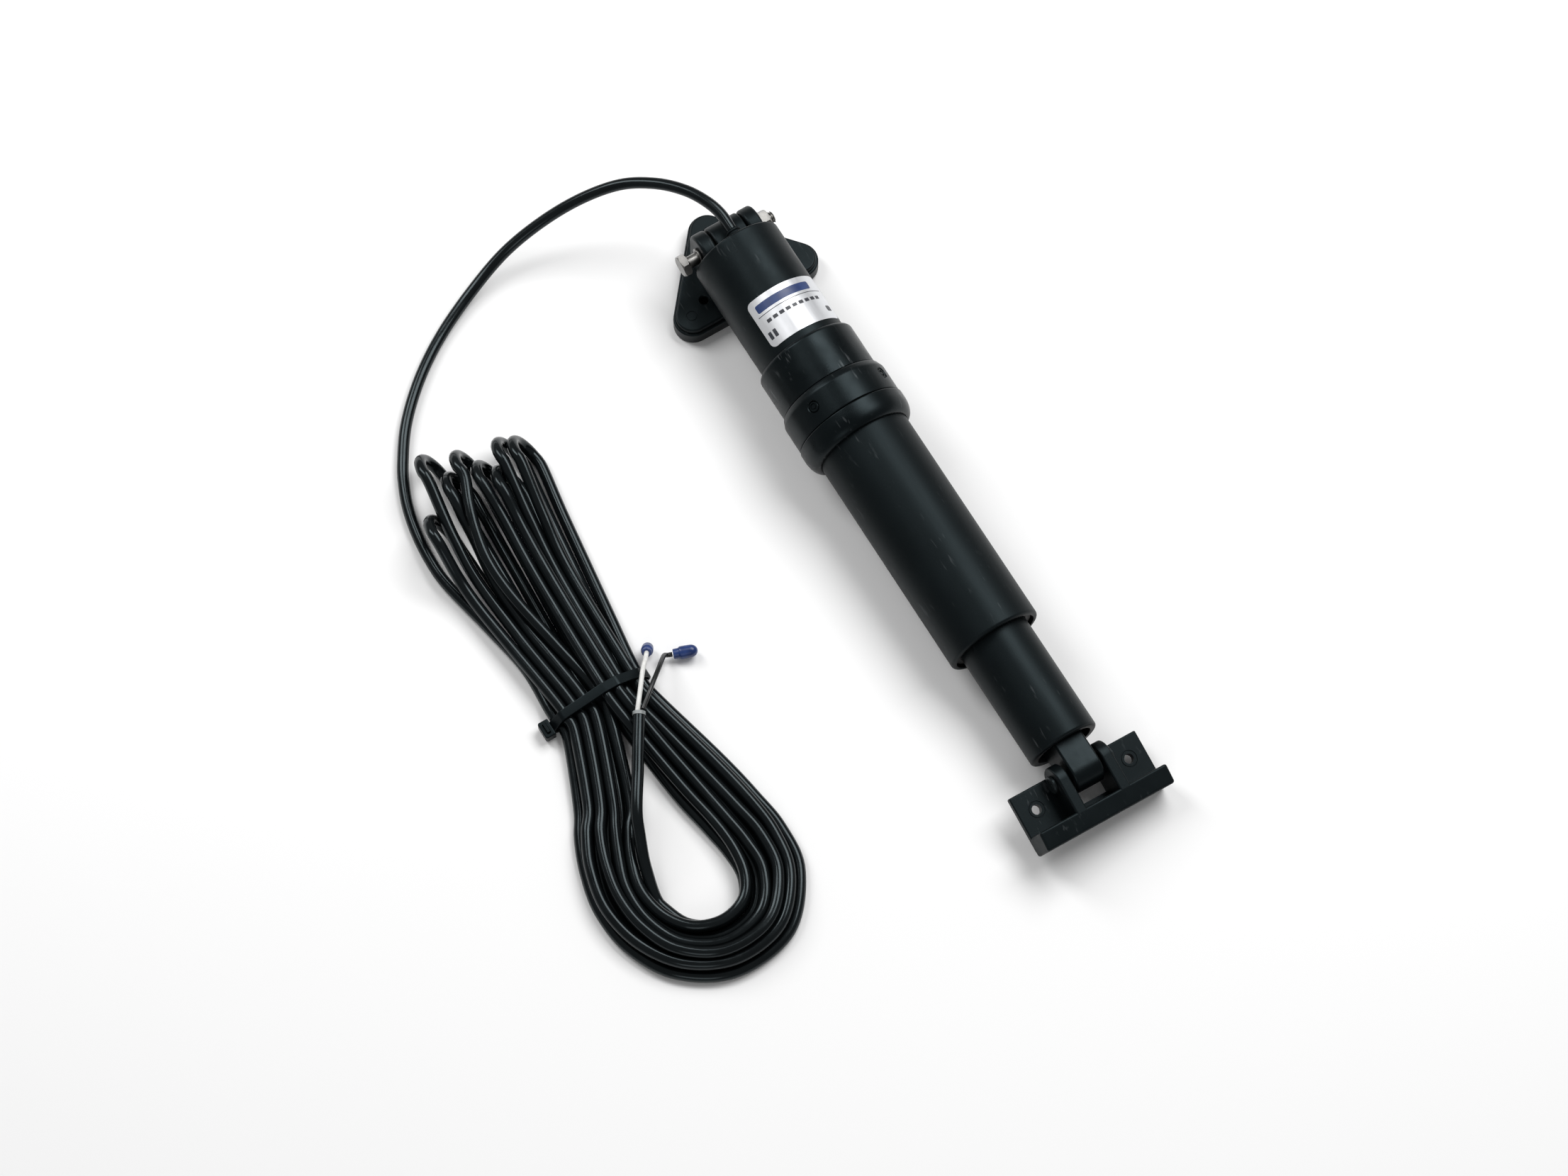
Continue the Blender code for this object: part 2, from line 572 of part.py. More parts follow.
def build_upper_bracket(pivot):
    floor = -BOLT_CENTRE.z
    top = floor + PLATE_THICKNESS
    skirt = prism(rounded_triangle(LOBE_RADIUS), floor, floor + SKIRT_HEIGHT)
    bracket = add_piece("upper_bracket", skirt, pivot, black_plastic("upper_bracket"))
    plateau = prism(rounded_triangle(LOBE_RADIUS - PLATEAU_INSET), floor + SKIRT_HEIGHT - MM, top)
    weld_on(bracket, plateau, "plateau")
    for side in (-1, 1):
        outline = arc(0, 0, LUG_RADIUS, EAR_ARC_START, 180, 10)
        outline += [(-LUG_RADIUS, top - MM), (EAR_FRONT_FOOT, top - MM)]
        ear = prism(outline, side * EAR_INNER, side * EAR_OUTER, "Y")
        weld_on(bracket, ear, "near_ear" if side < 0 else "far_ear")
    bolt_hole = lathe(rod(-20 * MM, 20 * MM, BOLT_RADIUS + GAP), 16, "Y")
    cut(bracket, bolt_hole, "ear_hole")
    holes = [(BACK_LOBE_X + 1.5 * MM, 0.0), (10.2 * MM, -21.0 * MM), (10.2 * MM, 21.0 * MM)]
    for i, (x, y) in enumerate(holes):
        screw = lathe(rod(floor - MM, top + MM, SCREW_HOLE_RADIUS), 16, "Z")
        cut(bracket, moved(screw, (x, y, 0)), f"plate_hole_{i + 1}")


def hexagon(across_flats):
    radius = across_flats / math.sqrt(3)
    return [(radius * math.cos(math.radians(60 * i)), radius * math.sin(math.radians(60 * i))) for i in range(6)]


def build_pivot_bolt(pivot):
    """A stainless hex bolt that stands a little out of the ears, with a washer and a nut."""
    head_in = -23.6 * MM
    tip = 24.5 * MM
    bolt = add_piece("pivot_bolt", prism(hexagon(10 * MM), head_in - 4.0 * MM, head_in, "Y"), pivot,
                     steel("pivot_bolt"))
    weld_on(bolt, lathe(rod(head_in - 2 * MM, tip, BOLT_RADIUS), 20, "Y"), "bolt_shank")
    washer = tube(-EAR_OUTER - 1.3 * MM, -EAR_OUTER - GAP, 4.6 * MM, BOLT_RADIUS + GAP)
    add_piece("pivot_washer", lathe(washer, 20, "Y"), pivot, steel("pivot_washer"))
    nut = add_piece("pivot_nut", prism(hexagon(10 * MM), EAR_OUTER + GAP, EAR_OUTER + 5.3 * MM, "Y"), pivot,
                    steel("pivot_nut"))
    cut(nut, lathe(rod(EAR_OUTER - MM, EAR_OUTER + 8 * MM, BOLT_RADIUS + GAP), 20, "Y"), "nut_bore")


# ---------------------------------------------------------------- supply cable

# The cable's loose run from the gland to the hank: chosen by hand, in millimetres from the
# pivot bolt's centre in plan and from the floor in height.
LEAD_ROUTE = [
    (13.0, 0.0, 50.1), (2.0, 0.0, 50.7), (-7.5, -0.2, 51.1), (-16.5, -2.6, 51.2), (-27.4, -8.0, 50.4),
    (-38.8, -17.4, 48.2), (-49.4, -31.0, 43.5), (-57.0, -48.8, 34.5), (-61.3, -68.7, 23.5),
    (-61.5, -90.0, 13.0), (-55.5, -112.0, 5.6), (-44.0, -136.0, 3.0), (-29.4, -156.6, 3.0),
    (-12.0, -174.2, 3.0), (6.3, -186.6, 3.0), (17.5, -192.6, 3.0), (26.5, -197.3, 3.0),
]
# Outline in plan of the hank, from the middle of its left end and round by the near side.
HANK_OUTLINE = [
    (14, -172), (17, -182), (26, -191), (40, -199.5), (70, -202), (100, -195), (128, -190), (145, -190.5),
    (152, -191), (166, -191), (180, -197), (196, -204), (225, -215.5), (253, -221.5), (273, -219),
    (290, -212), (304, -199), (309.5, -180), (306, -161), (294, -142), (276, -130), (254, -124),
    (232, -124), (208, -129), (180, -139), (166, -145), (152, -145), (131, -145), (101, -141), (66, -134),
    (36, -129.5), (24, -136), (17, -154),
]
# The free end lies on the hank, then splits into two cores with a crimp cap on each.
END_ROUTE = [(220.0, -184.0, 20.2), (204.0, -173.8, 20.2), (190.0, -165.0, 20.2), (179.0, -158.0, 20.3)]
WHITE_ROUTE = [(178.2, -158.4, 21.2), (170.7, -152.5, 21.6), (162.8, -146.4, 21.6), (156.6, -141.4, 16.8),
               (152.0, -138.2, 10.0)]
BLACK_ROUTE = [(178.4, -155.6, 20.4), (171.4, -147.1, 20.4), (164.2, -139.0, 16.5), (158.6, -133.6, 10.5),
               (156.0, -131.0, 6.0), (156.0, -129.4, 4.0), (156.8, -127.2, 3.9)]


def smooth_points(route, spacing):
    """Points along a smooth curve through the route, by a centripetal Catmull-Rom spline."""
    route = [Vector(p) * MM for p in route]
    padded = [2 * route[0] - route[1]] + route + [2 * route[-1] - route[-2]]
    points = []
    for a, b, c, d in zip(padded, padded[1:], padded[2:], padded[3:]):
        steps = max(1, round((c - b).length / spacing))
        for i in range(steps):
            t = i / steps
            points.append(0.5 * (2 * b + (c - a) * t + (2 * a - 5 * b + 4 * c - d) * t * t
                                 + (3 * b - 3 * c + d - a) * t ** 3))
    return points + [route[-1]]


def cord_tube(name, route, radius, mat, spacing, sides=2):
    """A tube along a route, as a bevelled curve with filled caps."""
    curve = bpy.data.curves.new(name, "CURVE")
    curve.dimensions = "3D"
    curve.bevel_depth = radius
    curve.bevel_resolution = sides
    curve.use_fill_caps = True
    points = smooth_points(route, spacing)
    spline = curve.splines.new("POLY")
    spline.points.add(len(points) - 1)
    for slot, point in zip(spline.points, points):
        slot.co = (*point, 1.0)
    curve.materials.append(mat)
    cord = bpy.data.objects.new(name, curve)
    bpy.context.collection.objects.link(cord)
    cord.location = (BOLT_CENTRE.x, 0.0, 0.0)
    return cord


def build_hank(frame):
    """The tied hank as one solid of its outer shape, with a shallow seat for the tie."""
    outline = [(x * MM - WAIST_X, y * MM - WAIST_Y) for x, y in HANK_OUTLINE]
    mat = material("cable_hank", (0.02, 0.024, 0.026), 0.3)
    hank = add_piece("cable_hank", prism(outline, 0.0, HANK_HEIGHT), frame, mat)
    seat = TIE_THICKNESS + GAP
    half = 0.5 * TIE_WIDTH + GAP
    inner = WAIST_HALF_WIDTH - seat - GAP
    hollow = ring_box(-half, half, inner, 40 * MM, seat + GAP, HANK_HEIGHT - seat - GAP, 40 * MM)
    cut(hank, hollow, "tie_groove")


def ring_box(x0, x1, inner_y, outer_y, inner_low, inner_high, outer_reach):
    """A square ring around the X direction: what a strap wrapped round a bar takes up."""
    bm = bmesh.new()
    rings = []
    for x in (x0, x1):
        for y, low, high in ((inner_y, inner_low, inner_high), (outer_y, inner_low - outer_reach,
                                                                inner_high + outer_reach)):
            rings.append([bm.verts.new((x, a, b)) for a, b in ((-y, low), (y, low), (y, high), (-y, high))])
    near_in, near_out, far_in, far_out = rings
    for first, second in ((near_in, near_out), (near_out, far_out), (far_out, far_in), (far_in, near_in)):
        for i in range(4):
            j = (i + 1) % 4
            bm.faces.new((first[i], first[j], second[j], second[i]))
    return bm


def build_tie(frame):
    """The cable tie round the waist, with its square head at the outer side."""
    half = 0.5 * TIE_WIDTH
    inner = WAIST_HALF_WIDTH - TIE_THICKNESS + 2 * GAP
    outer = inner + TIE_THICKNESS
    strap = ring_box(-half, half, inner, outer, TIE_THICKNESS + 0.1 * MM,
                     HANK_HEIGHT - TIE_THICKNESS, TIE_THICKNESS)
    tie = add_piece("cable_tie", strap, frame, black_plastic("cable_tie"))
    head = box(-4.4 * MM, 4.4 * MM, -outer - 5.4 * MM, -outer + 0.2 * MM, 4.0 * MM, 9.0 * MM)
    weld_on(tie, head, "tie_head")


def build_cable(frame):
    jacket = (0.02, 0.024, 0.026)
    cord_tube("cable_lead", LEAD_ROUTE, CABLE_RADIUS, material("cable_lead", jacket, 0.3), 14 * MM)
    cord_tube("cable_end", END_ROUTE, CABLE_RADIUS, material("cable_end", jacket, 0.3), 8 * MM)
    white = material("core_white", (0.8, 0.8, 0.78), 0.4)
    cord_tube("core_white", WHITE_ROUTE, 1.15 * MM, white, 6 * MM)
    cord_tube("core_black", BLACK_ROUTE, 1.15 * MM, material("core_black", (0.02, 0.02, 0.02), 0.4), 6 * MM)
    build_hank(frame)
    build_tie(frame)
    build_cap("crimp_cap_white", WHITE_ROUTE, 9.0 * MM, 2.6 * MM)
    build_cap("crimp_cap_black", BLACK_ROUTE, 11.5 * MM, 3.0 * MM)


def build_cap(name, route, length, radius):
    """A blue crimp cap on the end of a core, closed at its tip."""
    end = Vector(route[-1]) * MM
    before = Vector(route[-2]) * MM
    direction = (end - before).normalized()
    profile = [(GAP, 0.0), (GAP, 0.75 * radius), (0.25 * length, radius), (0.8 * length, 0.92 * radius)]
    profile += [(length - 0.4 * MM, 0.55 * radius), (length, 0.0)]
    at = Matrix.Translation(end + Vector((BOLT_CENTRE.x, 0, 0)))
    at = at @ direction.to_track_quat("X", "Z").to_matrix().to_4x4()
    add_piece(name, lathe(profile, 16), None, material(name, (0.02, 0.12, 0.4), 0.35), at)


def build_all():
    clear_scene()
    dip = Matrix.Rotation(AXIS_SLOPE, 4, "Y")
    back = Matrix.Translation((-BOLT_STATION, 0, 0))
    axis = empty("actuator_axis", None, Matrix.Translation(BOLT_CENTRE) @ dip @ back)
    ram_axis = empty("ram_axis", axis, Matrix.Rotation(RAM_ROLL, 4, "X"))
    pin_at = Matrix.Translation((PIN_STATION, 0, 0)) @ Matrix.Rotation(WING_TILT, 4, "Y")
    lower_pivot = empty("lower_pivot", ram_axis, pin_at)
    upper_pivot = empty("upper_pivot", None, Matrix.Translation(BOLT_CENTRE))
    hank_frame = empty("hank_frame", None, Matrix.Translation((BOLT_CENTRE.x + WAIST_X, WAIST_Y, 0)))
    build_motor_housing(axis)
    build_label(axis)
    build_gear_housing(axis)
    build_collar(axis)
    build_nose_cap(axis)
    build_outer_tube(axis)
    build_cable_gland(axis)
    build_motor_body(axis)
    build_rotor(axis)
    build_gears(axis)
    build_screw(axis)
    build_ram(ram_axis)
    build_lower_bracket(lower_pivot)
    build_upper_bracket(upper_pivot)
    build_pivot_bolt(upper_pivot)
    build_cable(hank_frame)


build_all()
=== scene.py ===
"""Looks of the trim tab actuator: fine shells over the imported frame, and its cable in a hank.

Shapes are built in millimetres, and link_piece scales them to metres. Places in the world, the
camera, the lights and the materials are in metres, and angles are in degrees. World frame: +X
runs from the motor end to the ram end, +Z is up, and everything lies on the floor z = 0.
"""

import json
import math

import bmesh
import bpy
import numpy as np
from mathutils import Matrix, Vector


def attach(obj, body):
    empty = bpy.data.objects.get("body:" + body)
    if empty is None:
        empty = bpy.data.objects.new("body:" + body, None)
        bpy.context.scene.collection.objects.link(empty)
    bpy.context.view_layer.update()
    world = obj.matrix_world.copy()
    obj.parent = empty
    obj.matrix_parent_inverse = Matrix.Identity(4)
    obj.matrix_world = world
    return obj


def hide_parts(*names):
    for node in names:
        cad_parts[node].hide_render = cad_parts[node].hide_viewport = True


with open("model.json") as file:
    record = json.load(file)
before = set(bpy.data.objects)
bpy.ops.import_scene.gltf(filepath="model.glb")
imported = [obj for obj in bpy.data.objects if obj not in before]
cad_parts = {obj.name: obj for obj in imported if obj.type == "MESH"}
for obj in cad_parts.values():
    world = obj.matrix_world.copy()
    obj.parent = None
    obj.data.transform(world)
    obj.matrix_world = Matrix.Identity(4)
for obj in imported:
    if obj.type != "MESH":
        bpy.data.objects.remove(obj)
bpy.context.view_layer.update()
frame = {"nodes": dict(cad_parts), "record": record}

MM = 0.001

# ---- places taken from the frame

JOINTS = {joint["name"]: joint for joint in frame["record"]["behaviour"]["joints"]}
BOLT = Vector(JOINTS["hull_pivot"]["pos_m"])
AXIS = Vector(JOINTS["ram_slide"]["axis"]).normalized()
PIN = Vector(JOINTS["rod_pivot"]["pos_m"])
PIN_AXIS = Vector(JOINTS["rod_pivot"]["axis"]).normalized()
# How far the end wall's plane lies in front of the bolt, in millimetres.
WALL_FROM_BOLT = 11
# How far the lower bracket is turned about its pin from the ram's own frame.
WING_TILT = 11.4


def frame_matrix(origin, x_axis, y_axis):
    """World matrix of a frame with the given X and Y directions."""
    z_axis = x_axis.cross(y_axis)
    columns = Matrix((x_axis, y_axis, z_axis)).transposed()
    return Matrix.Translation(origin) @ columns.to_4x4()


# Motor housing frame: origin at the centre of its end wall, +X along the actuator.
HOUSING = frame_matrix(BOLT + AXIS * (WALL_FROM_BOLT * MM), AXIS, Vector((0, 1, 0)))
# The ram's frame has the same axis but is rolled about it, so its Y is the pin's direction.
RAM = frame_matrix(HOUSING.translation, AXIS, PIN_AXIS)
PIN_STATION = (PIN - HOUSING.translation).dot(AXIS)
PIN_FRAME = RAM @ Matrix.Translation((PIN_STATION, 0, 0))
WING = PIN_FRAME @ Matrix.Rotation(math.radians(WING_TILT), 4, "Y")
PLACES = {"housing": HOUSING, "ram": RAM, "rod_bracket": WING, "hull_bracket": Matrix.Translation(BOLT)}

# ---- camera, floor and lights

CAMERA_TARGET = Vector((0.0113, -0.0702, 0.0275))
CAMERA_BACK = Vector((0.3191, -0.1963, 0.9272)).normalized()
CAMERA_DISTANCE = 1.96
CAMERA_LENS = 96.8
SENSOR_WIDTH = 36
FLOOR_SIZE = 6
FLOOR_GREYS = ((0, 0.89), (1, 0.93))
WORLD_STRENGTH = 0.26
LIGHT_TARGET = Vector((0, -0.05, 0))
# Name, place, width, height and power in watts of each soft light.
SOFTBOXES = (
    ("key_softbox", (-0.25, 0.75, 1.35), 1.2, 0.8, 21),
    ("side_softbox", (-0.95, -0.45, 1.05), 0.45, 0.9, 9),
    ("end_softbox", (1.1, -0.9, 0.9), 0.6, 0.6, 2.2),
)


def new_object(name, data):
    """A new object in the scene."""
    obj = bpy.data.objects.new(name, data)
    bpy.context.collection.objects.link(obj)
    return obj


def mesh_from(name, bm):
    mesh = bpy.data.meshes.new(name)
    bm.to_mesh(mesh)
    bm.free()
    return mesh


def looking(place, back):
    """World matrix of a camera or light at a place, with its back to the given direction."""
    return Matrix.Translation(place) @ back.to_track_quat("Z", "Y").to_matrix().to_4x4()


def add_camera():
    data = bpy.data.cameras.new("photo_camera")
    data.sensor_width = SENSOR_WIDTH
    data.lens = CAMERA_LENS
    camera = new_object("photo_camera", data)
    camera.matrix_world = looking(CAMERA_TARGET + CAMERA_BACK * CAMERA_DISTANCE, CAMERA_BACK)
    bpy.context.scene.camera = camera


def add_light(name, place, width, height, power):
    data = bpy.data.lights.new(name, "AREA")
    data.shape = "RECTANGLE"
    data.size = width
    data.size_y = height
    data.energy = power
    new_object(name, data).matrix_world = looking(place, Vector(place) - LIGHT_TARGET)


def add_stage():
    """A pale floor, a pale world and three soft studio lights."""
    bm = bmesh.new()
    bmesh.ops.create_grid(bm, x_segments=4, y_segments=4, size=FLOOR_SIZE)
    floor = new_object("floor", mesh_from("floor", bm))
    pale = Recipe("pale_floor")
    mottle = pale.node("TexNoise", Scale=3)
    pale.colour(pale.ramp(mottle.outputs["Fac"], *FLOOR_GREYS))
    pale.set(Roughness=0.9, Specular_IOR_Level=0.1)
    floor.data.materials.append(pale.material)
    world = bpy.data.worlds.new("studio")
    world.use_nodes = True
    background = world.node_tree.nodes["Background"]
    background.inputs["Color"].default_value = (1, 1, 1, 1)
    background.inputs["Strength"].default_value = WORLD_STRENGTH
    bpy.context.scene.world = world
    bpy.context.scene.view_settings.view_transform = "Standard"
    for softbox in SOFTBOXES:
        add_light(*softbox)


# ---- materials

BLACK = (0.0016, 0.0024, 0.0028)
SLATE = (0.003, 0.0044, 0.005)
LIGHT_SLATE = (0.0036, 0.005, 0.0056)
PALE_SLATE = (0.02, 0.024, 0.025)
SCUFF_COLOUR = (0.085, 0.092, 0.096)
JACKET_DARK = (0.0022, 0.0028, 0.0032)
JACKET_LIGHT = (0.0042, 0.0054, 0.006)
SILVER_DARK = (0.6, 0.61, 0.63)
SILVER_LIGHT = (0.76, 0.77, 0.79)
PLASTIC_TINT = (0.72, 0.93, 1, 1)
JACKET_TINT = (0.8, 0.95, 1, 1)
STEEL_DARK = (0.14, 0.138, 0.133)
STEEL_LIGHT = (0.26, 0.255, 0.245)
LENGTHWISE = (0.1, 1, 1)


class Recipe:
    """Shorthand for wiring a node material that reads the piece's own coordinates."""

    def __init__(self, name):
        self.material = bpy.data.materials.new(name)
        self.material.use_nodes = True
        self.nodes = self.material.node_tree.nodes
        self.links = self.material.node_tree.links
        self.shader = self.nodes["Principled BSDF"]
        self.coordinates = self.node("TexCoord").outputs["Object"]

    def set(self, **sockets):
        for label, value in sockets.items():
            self.shader.inputs[label.replace("_", " ")].default_value = value

    def node(self, kind, **values):
        """A new node with its inputs set."""
        node = self.nodes.new("ShaderNode" + kind)
        for label, value in values.items():
            node.inputs[label.replace("_", " ")].default_value = value
        return node

    def noise(self, scale, detail=3, stretch=(1, 1, 1), roughness=0.5):
        mapping = self.node("Mapping", Scale=stretch)
        noise = self.node("TexNoise", Scale=scale, Detail=detail, Roughness=roughness)
        self.links.new(self.coordinates, mapping.inputs["Vector"])
        self.links.new(mapping.outputs["Vector"], noise.inputs["Vector"])
        return noise.outputs["Fac"]

    def ramp(self, factor, *stops):
        """Colours or greys at places along a factor."""
        node = self.node("ValToRGB")
        elements = node.color_ramp.elements
        while len(elements) < len(stops):
            elements.new(0.5)
        for element, (place, colour) in zip(elements, stops):
            element.position = place
            element.color = (*colour, 1) if isinstance(colour, tuple) else (colour,) * 3 + (1,)
        self.links.new(factor, node.inputs["Fac"])
        return node.outputs["Color"]

    def spread(self, factor, low, high):
        """The middle of a noise, 0.3 to 0.7, spread from low to high."""
        node = self.node("MapRange", From_Min=0.3, From_Max=0.7, To_Min=low, To_Max=high)
        self.links.new(factor, node.inputs["Value"])
        return node.outputs["Result"]

    def mix(self, factor, first, second):
        """Two colours, each a socket or a plain colour, mixed by a factor."""
        node = self.node("Mix")
        node.data_type = "RGBA"
        self.links.new(factor, node.inputs["Factor"])
        for label, value in (("A", first), ("B", second)):
            if isinstance(value, bpy.types.NodeSocket):
                self.links.new(value, node.inputs[label])
            else:
                node.inputs[label].default_value = (*value, 1)
        return node.outputs["Result"]

    def bump(self, *layers):
        """Stacks (height, depth) layers of bump; depth is in metres."""
        normal = None
        for height, depth in layers:
            node = self.node("Bump", Distance=depth, Strength=1)
            self.links.new(height, node.inputs["Height"])
            if normal is not None:
                self.links.new(normal, node.inputs["Normal"])
            normal = node.outputs["Normal"]
        self.links.new(normal, self.shader.inputs["Normal"])

    def colour(self, socket):
        self.links.new(socket, self.shader.inputs["Base Color"])

    def roughness(self, socket):
        self.links.new(socket, self.shader.inputs["Roughness"])


def moulded_plastic(name, low, high, scuffs=0, along=(1, 1, 1), dark=BLACK, light=SLATE):
    """Satin moulded plastic: cloudy tone, fine grain, flow marks and a few pale scuffs."""
    recipe = Recipe(name)
    clouds = recipe.noise(38, 4)
    tone = recipe.ramp(clouds, (0.3, dark), (0.7, light))
    fine = recipe.noise(2600, 2)
    smears = recipe.noise(90, 5, along, 0.6)
    if scuffs > 0:
        scratch = recipe.noise(420, 2, (0.16, 1, 1), 0.7)
        patches = recipe.noise(60, 2)
        worn = recipe.mix(recipe.ramp(scratch, (0.6, 0), (0.68, 1)), (0, 0, 0),
                          recipe.ramp(patches, (0.52, 0), (0.66, scuffs)))
        tone = recipe.mix(worn, tone, SCUFF_COLOUR)
    recipe.colour(tone)
    recipe.roughness(recipe.spread(smears, low, high))
    recipe.bump((fine, 0.00003), (clouds, 0.00003))
    recipe.set(Specular_IOR_Level=0.15, Specular_Tint=PLASTIC_TINT)
    return recipe.material


def machined_metal(name, dark, light, low, high, along, scale):
    """Bright metal with fine tool lines along one direction and a little staining."""
    recipe = Recipe(name)
    lines = recipe.noise(scale, 3, along, 0.7)
    stains = recipe.noise(130, 4)
    recipe.colour(recipe.ramp(stains, (0.32, dark), (0.62, light)))
    recipe.roughness(recipe.spread(lines, low, high))
    recipe.bump((lines, 0.000006))
    recipe.set(Metallic=1)
    return recipe.material


def cable_jacket(name):
    """Glossy black PVC with slow waviness, dust-dulled patches and fine pulling marks."""
    recipe = Recipe(name)
    clouds = recipe.noise(45, 3)
    dull = recipe.noise(160, 4)
    fine = recipe.noise(1500, 2)
    recipe.colour(recipe.ramp(clouds, (0.3, JACKET_DARK), (0.7, JACKET_LIGHT)))
    recipe.roughness(recipe.spread(dull, 0.13, 0.23))
    recipe.bump((dull, 0.00005), (fine, 0.000004))
    recipe.set(Specular_IOR_Level=0.27, Specular_Tint=JACKET_TINT)
    return recipe.material


def smooth_finish(name, dark, light, roughness):
    """A plain smooth material, such as insulation or ink: a cloudy tone and a fine grain."""
    recipe = Recipe(name)
    clouds = recipe.noise(220, 3)
    fine = recipe.noise(2500, 2)
    recipe.colour(recipe.ramp(clouds, (0.35, dark), (0.65, light)))
    recipe.roughness(recipe.spread(clouds, roughness - 0.06, roughness + 0.08))
    recipe.bump((fine, 0.000015))
    return recipe.material


def silver_foil(name):
    """A silver sticker's face, brushed along its length."""
    recipe = Recipe(name)
    clouds = recipe.noise(30, 3)
    brushed = recipe.noise(700, 2, (0.05, 1, 1))
    recipe.colour(recipe.ramp(clouds, (0.3, SILVER_DARK), (0.7, SILVER_LIGHT)))
    recipe.roughness(recipe.spread(brushed, 0.3, 0.42))
    recipe.bump((brushed, 0.000004), (clouds, 0.00006))
    recipe.set(Metallic=0.55)
    return recipe.material


# ---- mesh tools

ROUND_STEPS = 120
SHARP_ANGLE = 32
TO_Y = Matrix.Rotation(math.radians(90), 4, "Z")
TO_Z = Matrix.Rotation(math.radians(-90), 4, "Y")


def arc(cx, cy, radius, start, end, steps):
    """Points of an arc; the end point is included."""
    angles = [math.radians(start + (end - start) * i / steps) for i in range(steps + 1)]
    return [(cx + radius * math.cos(a), cy + radius * math.sin(a)) for a in angles]


def ring_loft(rings, closed_ends=True):
    """Skin through rings of points that all have the same count."""
    bm = bmesh.new()
    rows = [[bm.verts.new(p) for p in ring] for ring in rings]
    count = len(rows[0])
    for a, b in zip(rows, rows[1:]):
        for i in range(count):
            j = (i + 1) % count
            bm.faces.new((a[i], a[j], b[j], b[i]))
    if closed_ends:
        bm.faces.new(list(reversed(rows[0])))
        bm.faces.new(rows[-1])
    bmesh.ops.recalc_face_normals(bm, faces=bm.faces)
    return bm


def turned(profile, steps, closed=False):
    """A profile of (along, radius) turned about X. A radius of 0 closes an end; closed joins them."""
    bm = bmesh.new()
    angles = [2 * math.pi * i / steps for i in range(steps)]
    rings = []
    for x, radius in profile:
        if radius == 0:
            rings.append([bm.verts.new((x, 0, 0))])
        else:
            rings.append([bm.verts.new((x, -radius * math.sin(a), radius * math.cos(a))) for a in angles])
    pairs = list(zip(rings, rings[1:]))
    if closed:
        pairs.append((rings[-1], rings[0]))
    for a, b in pairs:
        for i in range(steps):
            j = (i + 1) % steps
            if len(a) == 1:
                bm.faces.new((a[0], b[i], b[j]))
            elif len(b) == 1:
                bm.faces.new((a[i], b[0], a[j]))
            else:
                bm.faces.new((a[i], b[i], b[j], a[j]))
    bmesh.ops.recalc_face_normals(bm, faces=bm.faces)
    return bm


def shell(start, end, outer, inner, edge, steps):
    """A tube along X with rounded outer edges and small chamfers at its bore."""
    profile = arc(start + edge, outer - edge, edge, 180, 90, 5)
    profile += arc(end - edge, outer - edge, edge, 90, 0, 5)
    rim = 0.4 * edge
    profile += [(end - 0.12 * rim, inner + 0.4 * rim), (end - rim, inner), (start + rim, inner),
                (start + 0.12 * rim, inner + 0.4 * rim)]
    return turned(profile, steps, closed=True)


def extruded(outline, low, high, edge, axis="Z", steps=4):
    """An outline function of its inset, extruded with both long edges rounded over."""
    rounding = [(edge * math.sin(0.5 * math.pi * i / steps), edge * math.cos(0.5 * math.pi * i / steps))
                for i in range(steps + 1)]
    levels = [(low + edge - out, edge - back) for out, back in reversed(rounding)]
    levels += [(high - edge + out, edge - back) for out, back in rounding]
    loops = []
    for level, inset in levels:
        if axis == "Z":
            loops.append([(x, y, level) for x, y in outline(inset)])
        else:
            loops.append([(x, level, z) for x, z in outline(inset)])
    return ring_loft(loops)


def bevelled_prism(points, low, high, edge):
    """A convex side view extruded along Y, with every edge rounded over."""
    bm = ring_loft([[(x, y, z) for x, z in points] for y in (low, high)])
    bmesh.ops.bevel(bm, geom=bm.edges[:], offset=edge, segments=4, profile=0.5, affect="EDGES",
                    clamp_overlap=True)
    return bm


def block(x0, x1, y0, y1, z0, z1):
    corners = [(x0, y0), (x1, y0), (x1, y1), (x0, y1)]
    return ring_loft([[(x, y, z) for x, y in corners] for z in (z0, z1)])


def corner_triples(points):
    """Each corner of a closed outline with the corners before and after it."""
    count = len(points)
    for i in range(count):
        yield tuple(Vector(points[(i + k) % count]) for k in (-1, 0, 1))


def inset_polygon(points, inset):
    """An outline's points moved inwards along their corner bisectors."""
    area = sum(before.cross(here) for before, here, _ in corner_triples(points))
    turn = 1 if area > 0 else -1
    result = []
    for before, here, after in corner_triples(points):
        first = (here - before).normalized()
        second = (after - here).normalized()
        normal = Vector((-(first.y + second.y), first.x + second.x)) * turn
        # A blunt limit keeps a sharp corner from running away.
        shift = inset / max(0.35, 0.5 * normal.length)
        result.append(tuple(here + normal.normalized() * shift))
    return result


def rounded_polygon(points, radii, steps=5):
    """An outline with each corner rounded by its own radius."""
    result = []
    for (before, here, after), radius in zip(corner_triples(points), radii):
        to_before = (before - here).normalized()
        to_after = (after - here).normalized()
        run = radius / math.tan(0.5 * to_before.angle(to_after))
        start, end = here + to_before * run, here + to_after * run
        for k in range(steps + 1):
            t = k / steps
            result.append(tuple(start * (1 - t) ** 2 + here * 2 * t * (1 - t) + end * t ** 2))
    return result


def moved(bm, matrix):
    bmesh.ops.transform(bm, matrix=matrix, verts=bm.verts)
    return bm


